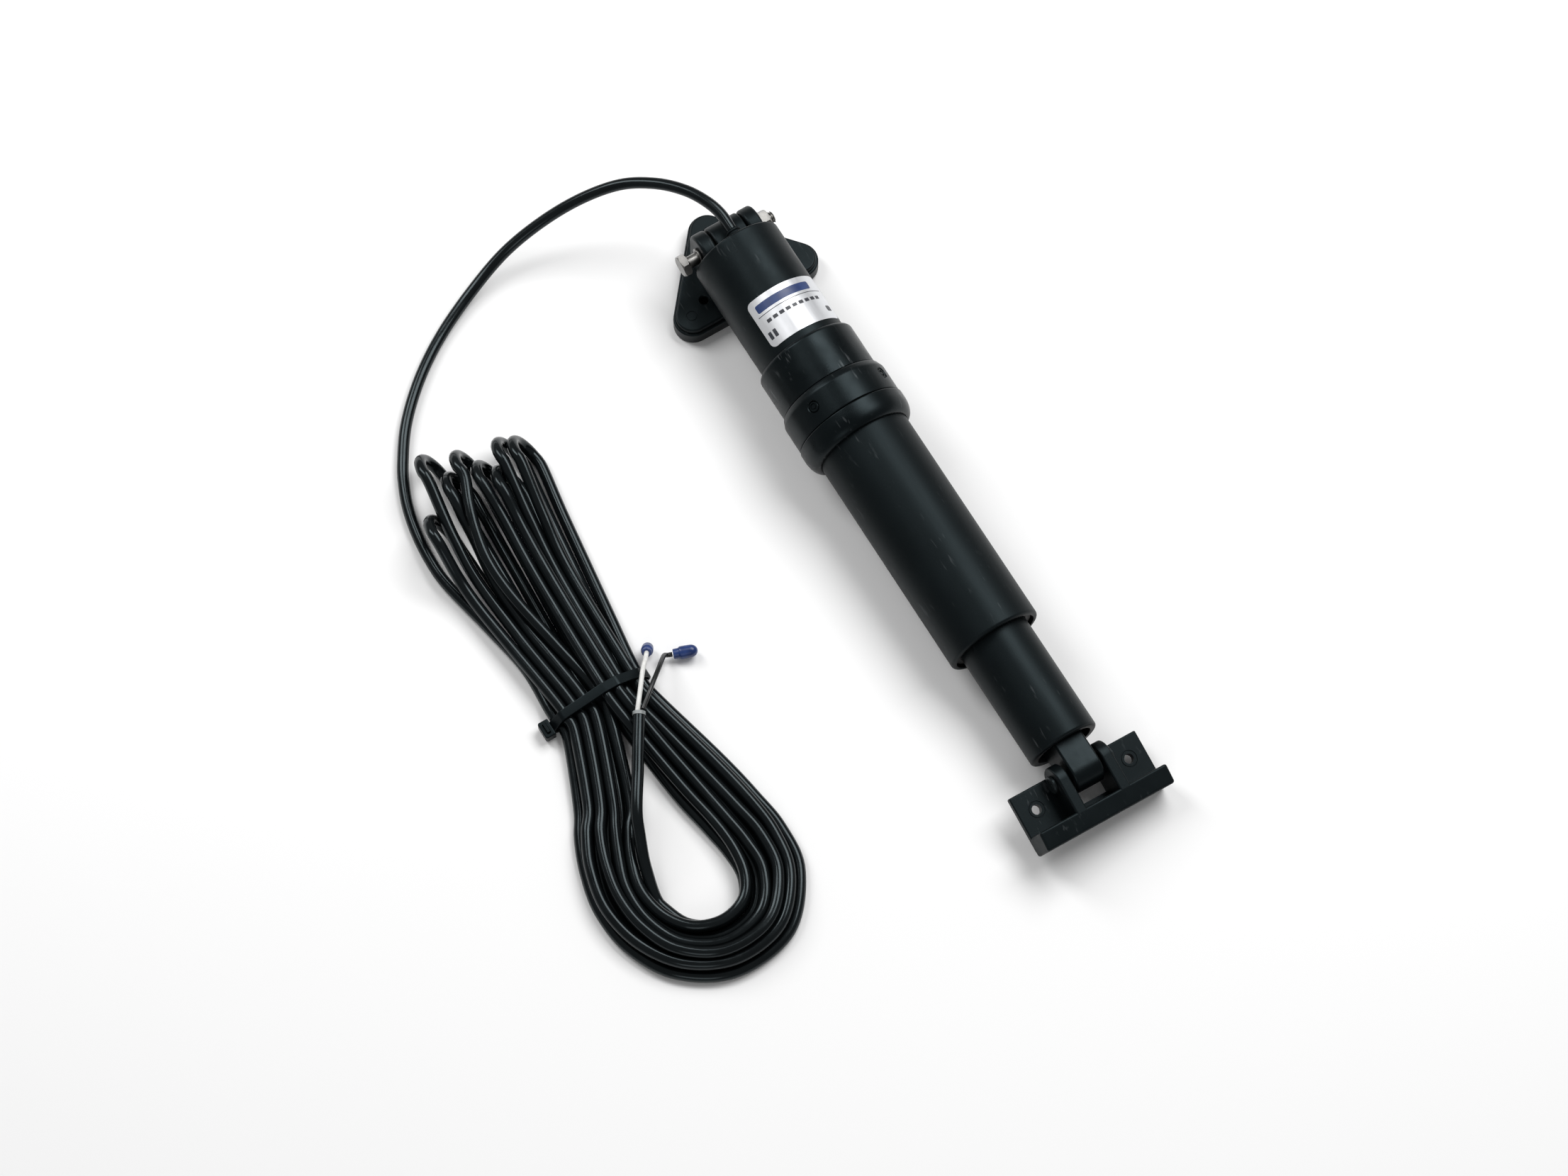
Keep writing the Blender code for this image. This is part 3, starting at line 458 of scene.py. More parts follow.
def cylinder(start, end, radius, place=(0, 0, 0), turn=Matrix.Identity(4)):
    """A plain cutter along X, or along the direction that turn gives."""
    bm = turned([(start, 0), (start, radius), (end, radius), (end, 0)], 40)
    return moved(bm, Matrix.Translation(place) @ turn)


def capsule_end(cx, radius, back):
    """Side view of a lug: a round end about (cx, 0) that runs back to x = back."""
    side = 1 if back > cx else -1
    start = 180 + 90 * side

    def outline(inset):
        r = radius - inset
        stop = back - side * inset
        return [(stop, -side * r)] + arc(cx, 0, r, start, start - 180, 20) + [(stop, side * r)]

    return outline


def boolean(base, tool, operation):
    """Applies an exact Boolean of two bmeshes and gives the result as a bmesh."""
    objects = []
    for label, bm in (("boolean_base", base), ("boolean_tool", tool)):
        objects.append(new_object(label, mesh_from(label, bm)))
    modifier = objects[0].modifiers.new("boolean", "BOOLEAN")
    modifier.operation = operation
    modifier.solver = "EXACT"
    modifier.object = objects[1]
    bpy.context.view_layer.update()
    evaluated = objects[0].evaluated_get(bpy.context.evaluated_depsgraph_get())
    result = bmesh.new()
    result.from_mesh(evaluated.to_mesh())
    evaluated.to_mesh_clear()
    for obj in objects:
        mesh = obj.data
        bpy.data.objects.remove(obj, do_unlink=True)
        bpy.data.meshes.remove(mesh)
    return result


def union(base, *tools):
    for tool in tools:
        base = boolean(base, tool, "UNION")
    return base


def difference(base, *tools):
    for tool in tools:
        base = boolean(base, tool, "DIFFERENCE")
    return base


def merged(meshes):
    """Several closed meshes that don't touch, in one bmesh."""
    result = meshes[0]
    for other in meshes[1:]:
        mesh = mesh_from("part", other)
        result.from_mesh(mesh)
        bpy.data.meshes.remove(mesh)
    return result


def finish_piece(piece, mat, body, nodes):
    piece.data.materials.clear()
    piece.data.materials.append(mat)
    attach(piece, body)
    if nodes:
        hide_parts(*nodes)


def link_piece(name, bm, mat, body, node=None, place=None):
    """Makes a finished piece: scales it, places it in its body's frame, paints it and rides it."""
    mesh = mesh_from(name, bm)
    mesh.transform((place or PLACES[body]) @ Matrix.Scale(MM, 4))
    mesh.shade_smooth()
    mesh.set_sharp_from_angle(angle=math.radians(SHARP_ANGLE))
    piece = new_object(name, mesh)
    modifier = piece.modifiers.new("weighted_normal", "WEIGHTED_NORMAL")
    modifier.keep_sharp = True
    bpy.context.view_layer.update()
    depsgraph = bpy.context.evaluated_depsgraph_get()
    piece.data = bpy.data.meshes.new_from_object(piece.evaluated_get(depsgraph), depsgraph=depsgraph)
    piece.data.name = name
    piece.modifiers.clear()
    bpy.data.meshes.remove(mesh)
    finish_piece(piece, mat, body, (node,) if node else ())
    return piece


def link_moulded(node, kind, bm, body, *look, **colours):
    """Makes a piece of moulded plastic that stands for one node and is named after it."""
    link_piece(f"{node}_{kind}", bm, moulded_plastic(node + "_plastic", *look, **colours), body, node)


# ---- cable

CABLE_DIAMETER = 5.7 * MM
GLAND_HEIGHT = 15.2
# The loose run from the gland to the hank, as the part lays it: millimetres, in plan from the
# pivot bolt's centre and in height from the floor. Its last points lead into the hank.
LEAD_ROUTE = [
    (13, 0, 50.1), (2, 0, 50.7), (-7.5, -0.2, 51.1), (-16.5, -2.6, 51.2), (-27.4, -8, 50.4),
    (-38.8, -17.4, 48.2), (-49.4, -31, 43.5), (-57, -48.8, 34.5), (-61.3, -68.7, 23.5),
    (-61.5, -90, 13), (-55.5, -112, 5.6), (-44, -136, 3), (-29.4, -156.6, 3),
    (-12, -174.2, 3), (5.5, -186.2, 3), (16.6, -191.8, 3), (28, -195.9, 3),
]
INTO_HANK = [
    (42, -198.8, 3), (56, -199.7, 3), (71, -198.7, 3), (100, -192.4, 3), (127, -187.5, 3),
]
# The last run climbs on to the hank, and the free end lies on it and points back at the tie.
ONTO_HANK = [(256, -196, 4.5), (242, -193, 10), (230, -188.5, 16)]
END_ROUTE = [(220, -184, 20.2), (204, -173.8, 20.2), (190, -165, 20.2), (179, -158, 20.3)]
# The two cores leave the cut end and hang down over the hank's side.
WHITE_ROUTE = [(178.2, -158.4, 21.2), (170.7, -152.5, 21.6), (162.8, -146.4, 21.6), (156.6, -141.4, 16.8),
               (152, -138.2, 10)]
BLACK_ROUTE = [(178.4, -155.6, 20.4), (171.4, -147.1, 20.4), (164.2, -139, 16.5), (158.6, -133.6, 10.5),
               (156, -131, 6), (156, -129.4, 4), (156.8, -127.2, 3.9)]

# The bundle at the tie: three layers of columns, named by their letter and number.
WAIST_X = (150, 159, 168)
WAIST_Y = -168
LAYER_HEIGHTS = {"b": 2.95, "m": 8, "t": 13.05}
LAYER_STARTS = {"b": -20.3, "m": -17.4, "t": 2.9}
CABLE_PITCH = 5.8
TIE_THICKNESS = 1.3
# The hank lies beyond this Y at the tie, and the actuator on the other side of it.
HANK_SIDE = -140

# Edge of the hole in the open loop at the ram's side of the tie, from its near side round the end.
HOLE_EDGE = [
    (213, -178), (224, -184.5), (236, -189.8), (249, -193), (262, -191.5), (272, -186), (277.5, -176),
    (276, -165), (268, -159), (256, -157.5), (240, -159.3), (216, -163.5),
]
TURN_WIDTH = 5.9
LOW_WANDER = 2.2
HIGH_WANDER = 4.4
# Turns of the open loop, outermost first: places at the tie on the near and far side, and how many
# cable widths the turn lies outside the hole's edge.
OPEN_TURNS = [
    ("b0", "b7", 5), ("m0", "m6", 4.5), ("b1", "b6", 4), ("m1", "m5", 3.5), ("b2", "b5", 3),
    ("m2", "t1", 2.5), ("b3", "m4", 2), ("m3", "t0", 1.5),
]
# Folds at the other end, one after each open turn: low place, the points of the high leg from the
# fold to the tie, the middle of the loop in Y and where its end reaches in X.
FOLDS = [
    ("b7", [(69.9, -145.6, 16), (95, -148.6, 10)], -136.6, 25),
    ("b1", [(88, -193.5, 10)], -190, 40),
    ("b6", [(65.2, -151.4, 18), (92, -153.5, 12)], -143.4, 21.5),
    ("b2", [(57, -186, 19), (85, -186, 13)], -177.5, 10.5),
    ("b5", [(68, -156, 19), (96, -157.5, 17)], -150.2, 34),
    ("b3", [(62, -176.5, 18), (92, -178.5, 13)], -170.5, 25),
    ("m4", [(62, -161.8, 19), (92, -163.5, 17)], -157, 27),
    ("b4", [(54, -176.8, 23), (80, -181.5, 20), (112, -177.5, 13)], -164, 17),
]
FOLD_RADIUS = 12
FOLD_LEAN = 64
FOLD_INSET = 2.85
LOW_LEG_X = (120, 92, 66)
LOW_LEG_HEIGHT = 3
LAST_TURN_POINTS = 11

# Settling: the run's height on the floor, the fall in each round and the space kept between runs.
ROUTE_SPACING = 2.6
SETTLE_ROUNDS = 140
SETTLE_FALL = 0.06
SETTLE_SPACE = 0.06
LYING_HEIGHT = 2.87
NEIGHBOURS_APART = 7


def tie_point(place, x):
    """A place in the bundle at the tie, by layer letter and column."""
    layer, column = place[0], int(place[1:])
    return (x, WAIST_Y + LAYER_STARTS[layer] + CABLE_PITCH * column, LAYER_HEIGHTS[layer] + TIE_THICKNESS)


def open_turn(near, far, widths):
    """A turn of the open loop, from the near place round the end to the far place.

    Each turn wanders a little to either side of its place, as hand-wound cable does.
    """
    count = len(HOLE_EDGE)
    low = abs(widths - round(widths)) < 0.1
    height, amount = (LAYER_HEIGHTS["b"], LOW_WANDER) if low else (LAYER_HEIGHTS["m"], HIGH_WANDER)
    points = [tie_point(near, x) for x in WAIST_X]
    for i, (x, y) in enumerate(HOLE_EDGE):
        before = Vector(HOLE_EDGE[max(0, i - 1)])
        after = Vector(HOLE_EDGE[min(count - 1, i + 1)])
        along = (after - before).normalized()
        wander = amount * math.sin(math.pi * i / (count - 1)) * math.sin(0.55 * i + 4.4 * widths)
        offset = LAYER_HEIGHTS["b"] + (widths - 1) * TURN_WIDTH + wander
        points.append((x + offset * along.y, y - offset * along.x, height))
    return points + [tie_point(far, x) for x in reversed(WAIST_X)]


def fold(low, high_leg, middle, end_x):
    """From the low place at the tie, out to the fold and back over it towards the high place."""
    lean = math.radians(FOLD_LEAN)
    centre_x = end_x + FOLD_INSET + FOLD_RADIUS
    centre_z = LAYER_HEIGHTS["b"] + FOLD_RADIUS * math.sin(lean)
    loop = []
    for angle in range(75, 286, 30):
        a = math.radians(angle)
        across = FOLD_RADIUS * math.sin(a)
        loop.append((centre_x + FOLD_RADIUS * math.cos(a), middle + across * math.cos(lean),
                     centre_z - across * math.sin(lean)))
    start_y = tie_point(low, 0)[1]
    low_leg = []
    for x in LOW_LEG_X:
        t = (WAIST_X[0] - x) / (WAIST_X[0] - centre_x)
        low_leg.append((x, start_y + (loop[0][1] - start_y) * t, LOW_LEG_HEIGHT))
    return low_leg + loop + high_leg


def hank_route():
    """The whole cable from the gland to its free end. Every second turn runs the other way."""
    route = LEAD_ROUTE + INTO_HANK
    for i, (turn_row, fold_row) in enumerate(zip(OPEN_TURNS, FOLDS)):
        turn = open_turn(*turn_row)
        loop = fold(*fold_row)
        if i % 2:
            turn.reverse()
            loop.reverse()
        route += turn + loop
    last = list(reversed(open_turn("b3", "b4", 1)))
    return route + last[:LAST_TURN_POINTS] + ONTO_HANK + END_ROUTE


def smooth_route(route, spacing):
    """Evenly spaced points along a Catmull-Rom curve through the route, and their real spacing."""
    route = [np.array(p, float) for p in route]
    padded = [2 * route[0] - route[1]] + route + [2 * route[-1] - route[-2]]
    dense = []
    for a, b, c, d in zip(padded, padded[1:], padded[2:], padded[3:]):
        for i in range(12):
            t = i / 12
            dense.append(0.5 * (2 * b + (c - a) * t + (2 * a - 5 * b + 4 * c - d) * t * t
                                + (3 * b - 3 * c + d - a) * t ** 3))
    dense.append(route[-1])
    dense = np.array(dense)
    run = np.concatenate([[0], np.cumsum(np.linalg.norm(np.diff(dense, axis=0), axis=1))])
    count = int(round(run[-1] / spacing)) + 1
    places = np.linspace(0, run[-1], count)
    return np.stack([np.interp(places, run, dense[:, k]) for k in range(3)], axis=1), places[1]


def near_pairs(points, distance, skip):
    """Index pairs of points closer than a distance and more than skip apart along the cable."""
    pairs = []
    chunk = 400
    for start in range(0, len(points), chunk):
        rows = points[start:start + chunk]
        gap = np.linalg.norm(rows[:, None, :] - points[None, :, :], axis=2)
        i, j = np.nonzero(gap < distance)
        i = i + start
        keep = j - i > skip
        pairs.append(np.stack([i[keep], j[keep]], axis=1))
    return np.concatenate(pairs)


def along_cable(values):
    """Spreads a shift given to single points over their neighbours, so that no kink forms."""
    for _ in range(2):
        values[1:-1] = 0.25 * (values[:-2] + values[2:]) + 0.5 * values[1:-1]
    return values


def push_apart(points, pairs, diameter):
    """The shift that takes points which are closer than a diameter off each other."""
    apart = points[pairs[:, 0]] - points[pairs[:, 1]]
    gap = np.linalg.norm(apart, axis=1)
    close = gap < diameter
    shift = np.zeros_like(points)
    count = np.zeros(len(points))
    first, second = pairs[close, 0], pairs[close, 1]
    push = (0.5 * (diameter - gap[close]) / np.maximum(gap[close], 1e-3))[:, None] * apart[close]
    np.add.at(shift, first, push)
    np.add.at(shift, second, -push)
    np.add.at(count, first, 1)
    np.add.at(count, second, 1)
    return shift / np.maximum(1, 0.6 * count)[:, None]


def strap_lift(points):
    """How far the strap under the tie lifts each point of the hank off the floor."""
    strap = np.clip((9 - np.abs(points[:, 0] - WAIST_X[1])) / 6, 0, 1)
    strap = strap * strap * (3 - 2 * strap) * (points[:, 1] < HANK_SIDE)
    return (TIE_THICKNESS + 0.1) * strap


def settle(start, free):
    """Lets the cable down until its runs lie on the floor and on each other, a diameter apart.

    The cable keeps the bends it was laid with: only the shift from its start is smoothed.
    """
    diameter = CABLE_DIAMETER / MM + SETTLE_SPACE
    free = free[:, None]
    shift = np.zeros_like(start)
    for step in range(SETTLE_ROUNDS):
        if step % 5 == 0:
            pairs = near_pairs(start + shift, diameter * 1.5, NEIGHBOURS_APART)
        if step < 0.8 * SETTLE_ROUNDS:
            shift[:, 2] -= SETTLE_FALL * free[:, 0]
        for span in (1, 3, 5):
            middle = 0.5 * (shift[:-2 * span] + shift[2 * span:]) - shift[span:-span]
            shift[span:-span] += 0.25 * middle
        for _ in range(3):
            shift += 1.3 * along_cable(push_apart(start + shift, pairs, diameter)) * free
        shift *= np.minimum(1, 4 * free)
        points = start + shift
        shift[:, 2] += np.maximum(points[:, 2], LYING_HEIGHT + strap_lift(points)) - points[:, 2]
    return start + shift


def laid_cord(name, points, diameter, mat, body, nodes):
    """A round cord through world points, in the given material, which stands in for the given nodes."""
    curve = bpy.data.curves.new(name, "CURVE")
    curve.dimensions = "3D"
    curve.bevel_depth = 0.5 * diameter
    curve.bevel_resolution = 5
    curve.use_fill_caps = True
    spline = curve.splines.new("POLY")
    spline.points.add(len(points) - 1)
    for place, point in zip(spline.points, points):
        place.co = (*point, 1)
    cord = new_object(name, curve)
    finish_piece(cord, mat, body, nodes)
    return cord


def in_world(points):
    """Points of the cable's own frame, in millimetres, as world points in metres."""
    return np.asarray(points) * MM + np.array([BOLT.x, BOLT.y, 0])


def build_cable():
    """The supply cable: its lead stays as laid, and the rest settles into its hank."""
    points, spacing = smooth_route(hank_route(), ROUTE_SPACING)
    run = np.arange(len(points)) * spacing
    from_lead = np.clip((run - 300) / 60, 0, 1)
    from_end = np.clip((run[-1] - 12 - run) / 40, 0, 1)
    world = in_world(settle(points, from_lead * from_end))
    nodes = ("cable_lead", "cable_end", "cable_hank")
    jacket = cable_jacket("cable_jacket")
    return laid_cord("supply_cable", world, CABLE_DIAMETER, jacket, "housing", nodes), world


# ---- tie, cores and caps


def bundle_at(points, stations):
    """Where the hank's runs cross the given stations, in the cable's own frame: (y, z)."""
    crossings = []
    for station in stations:
        before, after = points[:-1], points[1:]
        hit = ((before[:, 0] - station) * (after[:, 0] - station) < 0) & (before[:, 1] < HANK_SIDE)
        for a, b in zip(before[hit], after[hit]):
            t = (station - a[0]) / (b[0] - a[0])
            crossings.append((a + (b - a) * t)[1:])
    return np.array(crossings)


def strap_rings(centres, radius, section, steps=150):
    """Rings of a strap pulled tight round circles, one for each direction out of the bundle."""
    rings = []
    for i in range(steps):
        angle = 2 * math.pi * i / steps
        out = np.array([math.cos(angle), math.sin(angle)])
        corner = centres[np.argmax(centres @ out)]
        ring = []
        for x, height in section:
            y, z = corner + out * (radius + height)
            ring.append((x, y, max(z, 0.05)))
        rings.append(ring)
    return rings


def build_tie(cable_points):
    """The nylon tie round the waist: a tight strap, a square head and the cut-off tail."""
    middle = WAIST_X[1]
    radius = 0.5 * CABLE_DIAMETER / MM
    points = (cable_points - np.array([BOLT.x, BOLT.y, 0])) / MM
    centres = bundle_at(points, (middle - 2.3, middle, middle + 2.3))
    low, high, half = 0.12, TIE_THICKNESS, 2.4
    section = [(-half, low + 0.2), (0.2 - half, low), (half - 0.2, low), (half, low + 0.2)]
    section += [(half, high - 0.35), (half - 0.1, high - 0.1), (half - 0.35, high)]
    section += [(0.35 - half, high), (0.1 - half, high - 0.1), (-half, high - 0.35)]
    rings = strap_rings(centres, radius, section)
    strap = ring_loft(rings + rings[:1], closed_ends=False)
    bmesh.ops.remove_doubles(strap, verts=strap.verts, dist=1e-4)
    bmesh.ops.recalc_face_normals(strap, faces=strap.faces)
    side = centres[:, 0].min() - radius - high
    level = centres[np.argmin(centres[:, 0]), 1]
    top = level + 2.8
    plan = [(-4.4, side - 4.9), (4.4, side - 4.9), (4.4, side + 0.5), (-4.4, side + 0.5)]
    corners = rounded_polygon(plan, (1.2, 1.2, 0.8, 0.8))
    head = extruded(lambda inset: inset_polygon(corners, inset), level - 2.4, top, 0.6)
    slot_cut = block(-2.7, 2.7, side - 3.3, side - 1.2, top - 1.4, top + 1)
    tail = block(-2.35, 2.35, side - 2.9, side - 1.6, top - 2, top + 1.5)
    tie = union(strap, union(difference(head, slot_cut), tail))
    place = Matrix.Translation((BOLT.x + middle * MM, BOLT.y, 0))
    return link_piece("cable_tie_detail", tie, moulded_plastic("tie_nylon", 0.3, 0.42), "housing",
                      "cable_tie", place=place)


def end_matrix(points):
    """A frame at the last point of a cord that looks along it."""
    end, before = Vector(points[-1]), Vector(points[-2])
    return Matrix.Translation(end) @ (end - before).to_track_quat("X", "Z").to_matrix().to_4x4()


def build_cap(name, node, points, length, radius, mat):
    """A crimp cap: a short neck, a flared sleeve and a round closed end."""
    neck, shoulder, waist = 0.26 * length, 0.72, 0.97 * radius
    profile = [(0.35, 0), (0.35, 0.7 * radius), (0.6, 0.78 * radius), (neck - 0.3, 0.8 * radius),
               (neck, 0.86 * radius), (neck + 0.6, 0.98 * radius), (neck + 1.4, radius),
               (shoulder * length, waist)]
    for i in range(1, 8):
        angle = math.radians(90 * i / 8)
        profile.append(((shoulder + (1 - shoulder) * math.sin(angle)) * length, waist * math.cos(angle)))
    profile.append((length, 0))
    return link_piece(name, turned(profile, 48), mat, "housing", node, place=end_matrix(points))


def build_cores():
    """The two bare-ended cores that leave the jacket, each with its blue crimp cap."""
    blue = smooth_finish("cap_blue", (0.006, 0.022, 0.1), (0.012, 0.04, 0.17), 0.32)
    white = smooth_finish("core_insulation_white", (0.62, 0.62, 0.6), (0.78, 0.78, 0.76), 0.42)
    black = smooth_finish("core_insulation_black", BLACK, SLATE, 0.34)
    for label, route, mat, length, radius in (("white", WHITE_ROUTE, white, 10, 2.9),
                                              ("black", BLACK_ROUTE, black, 12, 3.1)):
        points = in_world(smooth_route(route, 0.8)[0])
        core = laid_cord(f"core_{label}_wire", points, 2.3 * MM, mat, "housing", (f"core_{label}",))
        cap = build_cap(f"crimp_cap_{label}_detail", f"crimp_cap_{label}", points, length, radius, blue)


def build_jacket_end(points):
    """The grey foil and filler that show at the cut end of the jacket."""
    mat = smooth_finish("cable_filler", (0.2, 0.22, 0.22), (0.3, 0.32, 0.32), 0.45)
    foil = [(0.05, 0), (0.05, 2.95), (-1.5, 2.95), (-1.5, 3.08), (0.2, 3.08), (0.3, 2.9), (0.3, 0)]
    link_piece("jacket_end_filler", turned(foil, 40), mat, "housing",
               place=end_matrix(points))


# ---- actuator body

PIN_HOLE_RADIUS = 3.3


def build_motor_housing():
    """The housing, whose end wall stands back in a skirt that the bracket's ears reach into."""
    rim, skirt, skirt_bore = 1.2, -5, 20.2
    radius, bore, wall, end = 22.6, 20, 4, 62
    profile = [(0, 0), (0, skirt_bore), (skirt + 0.4, skirt_bore + 0.1), (skirt, skirt_bore + 0.5)]
    profile += arc(skirt + rim, radius - rim, rim, 180, 90, 6)
    profile += [(end, radius), (end, bore), (wall, bore), (wall, 0)]
    lug = extruded(capsule_end(-WALL_FROM_BOLT, 10.5, 2), -8.5, 8.5, 0.9, "Y")
    bolt_hole = cylinder(-12, 12, PIN_HOLE_RADIUS, (-WALL_FROM_BOLT, 0, 0), TO_Y)
    gland_hole = cylinder(-4, 8, 4, (0, 0, GLAND_HEIGHT))
    housing = difference(union(turned(profile, ROUND_STEPS), lug), bolt_hole, gland_hole)
    link_moulded("motor_housing", "shell", housing, "housing", 0.36, 0.47, 0.25)


def wrapped_patch(x0, x1, a0, a1, inner, outer, corner):
    """A thin patch on the housing with rounded corners, between two angles from straight up."""
    reach = math.degrees(corner / (0.5 * (inner + outer)))
    turns = [math.radians(90 * i / 8) for i in range(9)]
    steps = max(2, int(60 * (a1 - a0) / 110))
    angles = [a0 + reach * (1 - math.cos(t)) for t in turns]
    angles += [a0 + reach + (a1 - a0 - 2 * reach) * i / steps for i in range(1, steps)]
    angles += [a1 - reach * (1 - math.sin(t)) for t in turns]
    rows = []
    for angle in angles:
        edge = min(angle - a0, a1 - angle)
        inset = 0
        if edge < reach:
            inset = corner * (1 - math.sqrt(max(0, 1 - (1 - edge / reach) ** 2)))
        inset = min(inset, 0.5 * (x1 - x0) - 0.02)
        low, high, a = x0 + inset, x1 - inset, math.radians(angle)
        rows.append([(x, r * math.sin(a), r * math.cos(a))
                     for x, r in ((low, inner), (high, inner), (high, outer), (low, outer))])
    return ring_loft(rows)


def build_label():
    """A silver sticker with a plain printed design: a band, a rule and rows of small blocks."""
    inner, outer, start = 22.62, 22.78, 28.6
    sticker = wrapped_patch(start, 53.8, -43, 68, inner, outer, 3)
    link_piece("label_sticker", sticker, silver_foil("label_silver"), "housing", "rating_label")
    # Each printed patch: where it starts and ends along the sticker and round it, and its corners.
    band = [(3.2, 7.4, -34, 44, 0.9)]
    marks = [(8.8, 9.15, -37, 60, 0.05)]
    marks += [(11.9, 13.7, 9 * i - 30, 9 * i - 23.8, 0.2) for i in range(9)]
    marks += [(17.5, 21.5, -38, -33.5, 0.3), (17.5, 21.5, -31, -26.5, 0.3), (17.8, 20.9, 50, 60, 0.8)]
    for name, patches, dark, light in (("label_band", band, (0.012, 0.03, 0.11), (0.02, 0.045, 0.15)),
                                       ("label_marks", marks, (0.02, 0.022, 0.03), (0.04, 0.042, 0.05))):
        printed = merged([wrapped_patch(start + x0, start + x1, a0, a1, outer - 0.01, outer + 0.025, corner)
                          for x0, x1, a0, a1, corner in patches])
        ink = smooth_finish(name + "_ink", dark, light, 0.4)
        link_piece(name, printed, ink, "housing")


def build_gear_housing():
    start, end, radius, bore, rounding = 57.5, 81, 25.4, 21.8, 2.2
    spigot_end, spigot = 62.3, 22.9
    profile = [(start + 0.25, spigot), (start, spigot + 0.25)]
    profile += arc(start + rounding, radius - rounding, rounding, 180, 90, 8)
    profile += [(end - 0.3, radius), (end, radius - 0.3), (end, bore), (spigot_end, bore)]
    profile.append((spigot_end, spigot))
    link_moulded("gear_housing", "shell", turned(profile, ROUND_STEPS, True), "housing", 0.24, 0.38, 0.8)


def build_collar():
    """The collar with its ridge, and the four round plugs in their countersunk holes."""
    end, radius, bore, front_bore, seat = 98.7, 27.6, 23.7, 22, 84
    profile = [(81.3, front_bore), (81.3, 25.9), (81.7, 26.4), (82.5, 26.7), (83.4, 27.1), (84.4, 27.5),
               (85.2, radius)]
    profile += arc(end - 0.6, radius - 0.6, 0.6, 90, 0, 4)
    profile += [(end, bore), (seat, bore), (seat, front_bore)]
    collar = turned(profile, ROUND_STEPS, closed=True)
    face = 27.2
    hole = [(25.4, 0), (25.4, 2.8), (27, 2.8), (28.2, 3.8), (28.2, 0)]
    plug = [(25.7, 0), (25.7, 2.5), (face - 0.3, 2.5), (face, 2.2), (face, 1.75), (face - 0.5, 1.6),
            (face - 0.5, 1), (face - 0.1, 0.85), (face - 0.1, 0)]
    plug_mat = moulded_plastic("collar_plug_plastic", 0.35, 0.45)
    for i in range(4):
        round_axis = Matrix.Rotation(math.radians(36 - 90 * i), 4, "X")
        outwards = Matrix.Translation((90, 0, 0)) @ round_axis @ TO_Z
        collar = difference(collar, moved(turned(hole, 32), outwards))
        link_piece(f"collar_plug_detail_{i + 1}", moved(turned(plug, 32), outwards), plug_mat,
                   "housing", f"collar_plug_{i + 1}")
    link_moulded("joint_collar", "shell", collar, "housing", 0.27, 0.4, 0.7)


def build_nose_cap():
    start, band_end, end = 99, 103, 111
    radius, bore, lip = 28.1, 23.7, 24.2
    profile = [(start, bore)] + arc(start + 0.7, radius - 0.7, 0.7, 180, 90, 4)
    for i in range(13):
        angle = math.radians(90 * i / 12)
        x = band_end + (end - band_end) * math.sin(angle)
        profile.append((x, lip + (radius - lip) * math.cos(angle)))
    profile.append((end, bore))
    link_moulded("nose_cap", "shell", turned(profile, ROUND_STEPS, True), "housing", 0.26, 0.36, 0.5)


def build_tubes():
    outer = shell(84.3, 226, 23.4, 20.8, 1.6, ROUND_STEPS)
    link_moulded("outer_tube", "shell", outer, "housing", 0.42, 0.52, 0.25, LENGTHWISE)
    ram = shell(150, 285, 17.65, 14, 1.4, ROUND_STEPS)
    link_moulded("ram_tube", "shell", ram, "ram", 0.38, 0.5, 0.35, LENGTHWISE)


def build_gland():
    """The strain relief: a flanged sleeve that tapers away along the cable in soft ribs."""
    bore = 3.15
    profile = [(3.7, bore), (3.7, 3.7), (-0.3, 3.7), (-0.3, 4.4), (-1.9, 4.4), (-2.2, 4.1)]
    for i in range(4):
        x, r = -2.7 - 1.6 * i, 4 - 0.13 * i
        profile += [(x, r - 0.4), (x - 0.3, r), (x - 1, r), (x - 1.3, r - 0.4)]
    profile += [(-9, 3.35), (-9, bore)]
    gland = moved(turned(profile, 40, closed=True), Matrix.Translation((0, 0, GLAND_HEIGHT)))
    mat = moulded_plastic("gland_rubber", 0.48, 0.6)
    return link_piece("strain_relief", gland, mat, "housing", "cable_gland")


# ---- ram end and lower bracket


def build_rod_eye():
    """The plug in the ram's end, with the tongue that the pin goes through."""
    plug = turned([(262, 0), (262, 13), (262.7, 13.7), (280.7, 13.7), (281.5, 12.9), (281.5, 0)], 80)
    pin_x = PIN_STATION / MM
    tongue = extruded(capsule_end(pin_x, 9, 279.5), -7.75, 7.75, 1.1, "Y")
    hole = cylinder(-10, 10, PIN_HOLE_RADIUS, (pin_x, 0, 0), TO_Y)
    link_moulded("rod_eye", "detail", difference(union(plug, tongue), hole), "ram", 0.27, 0.4)


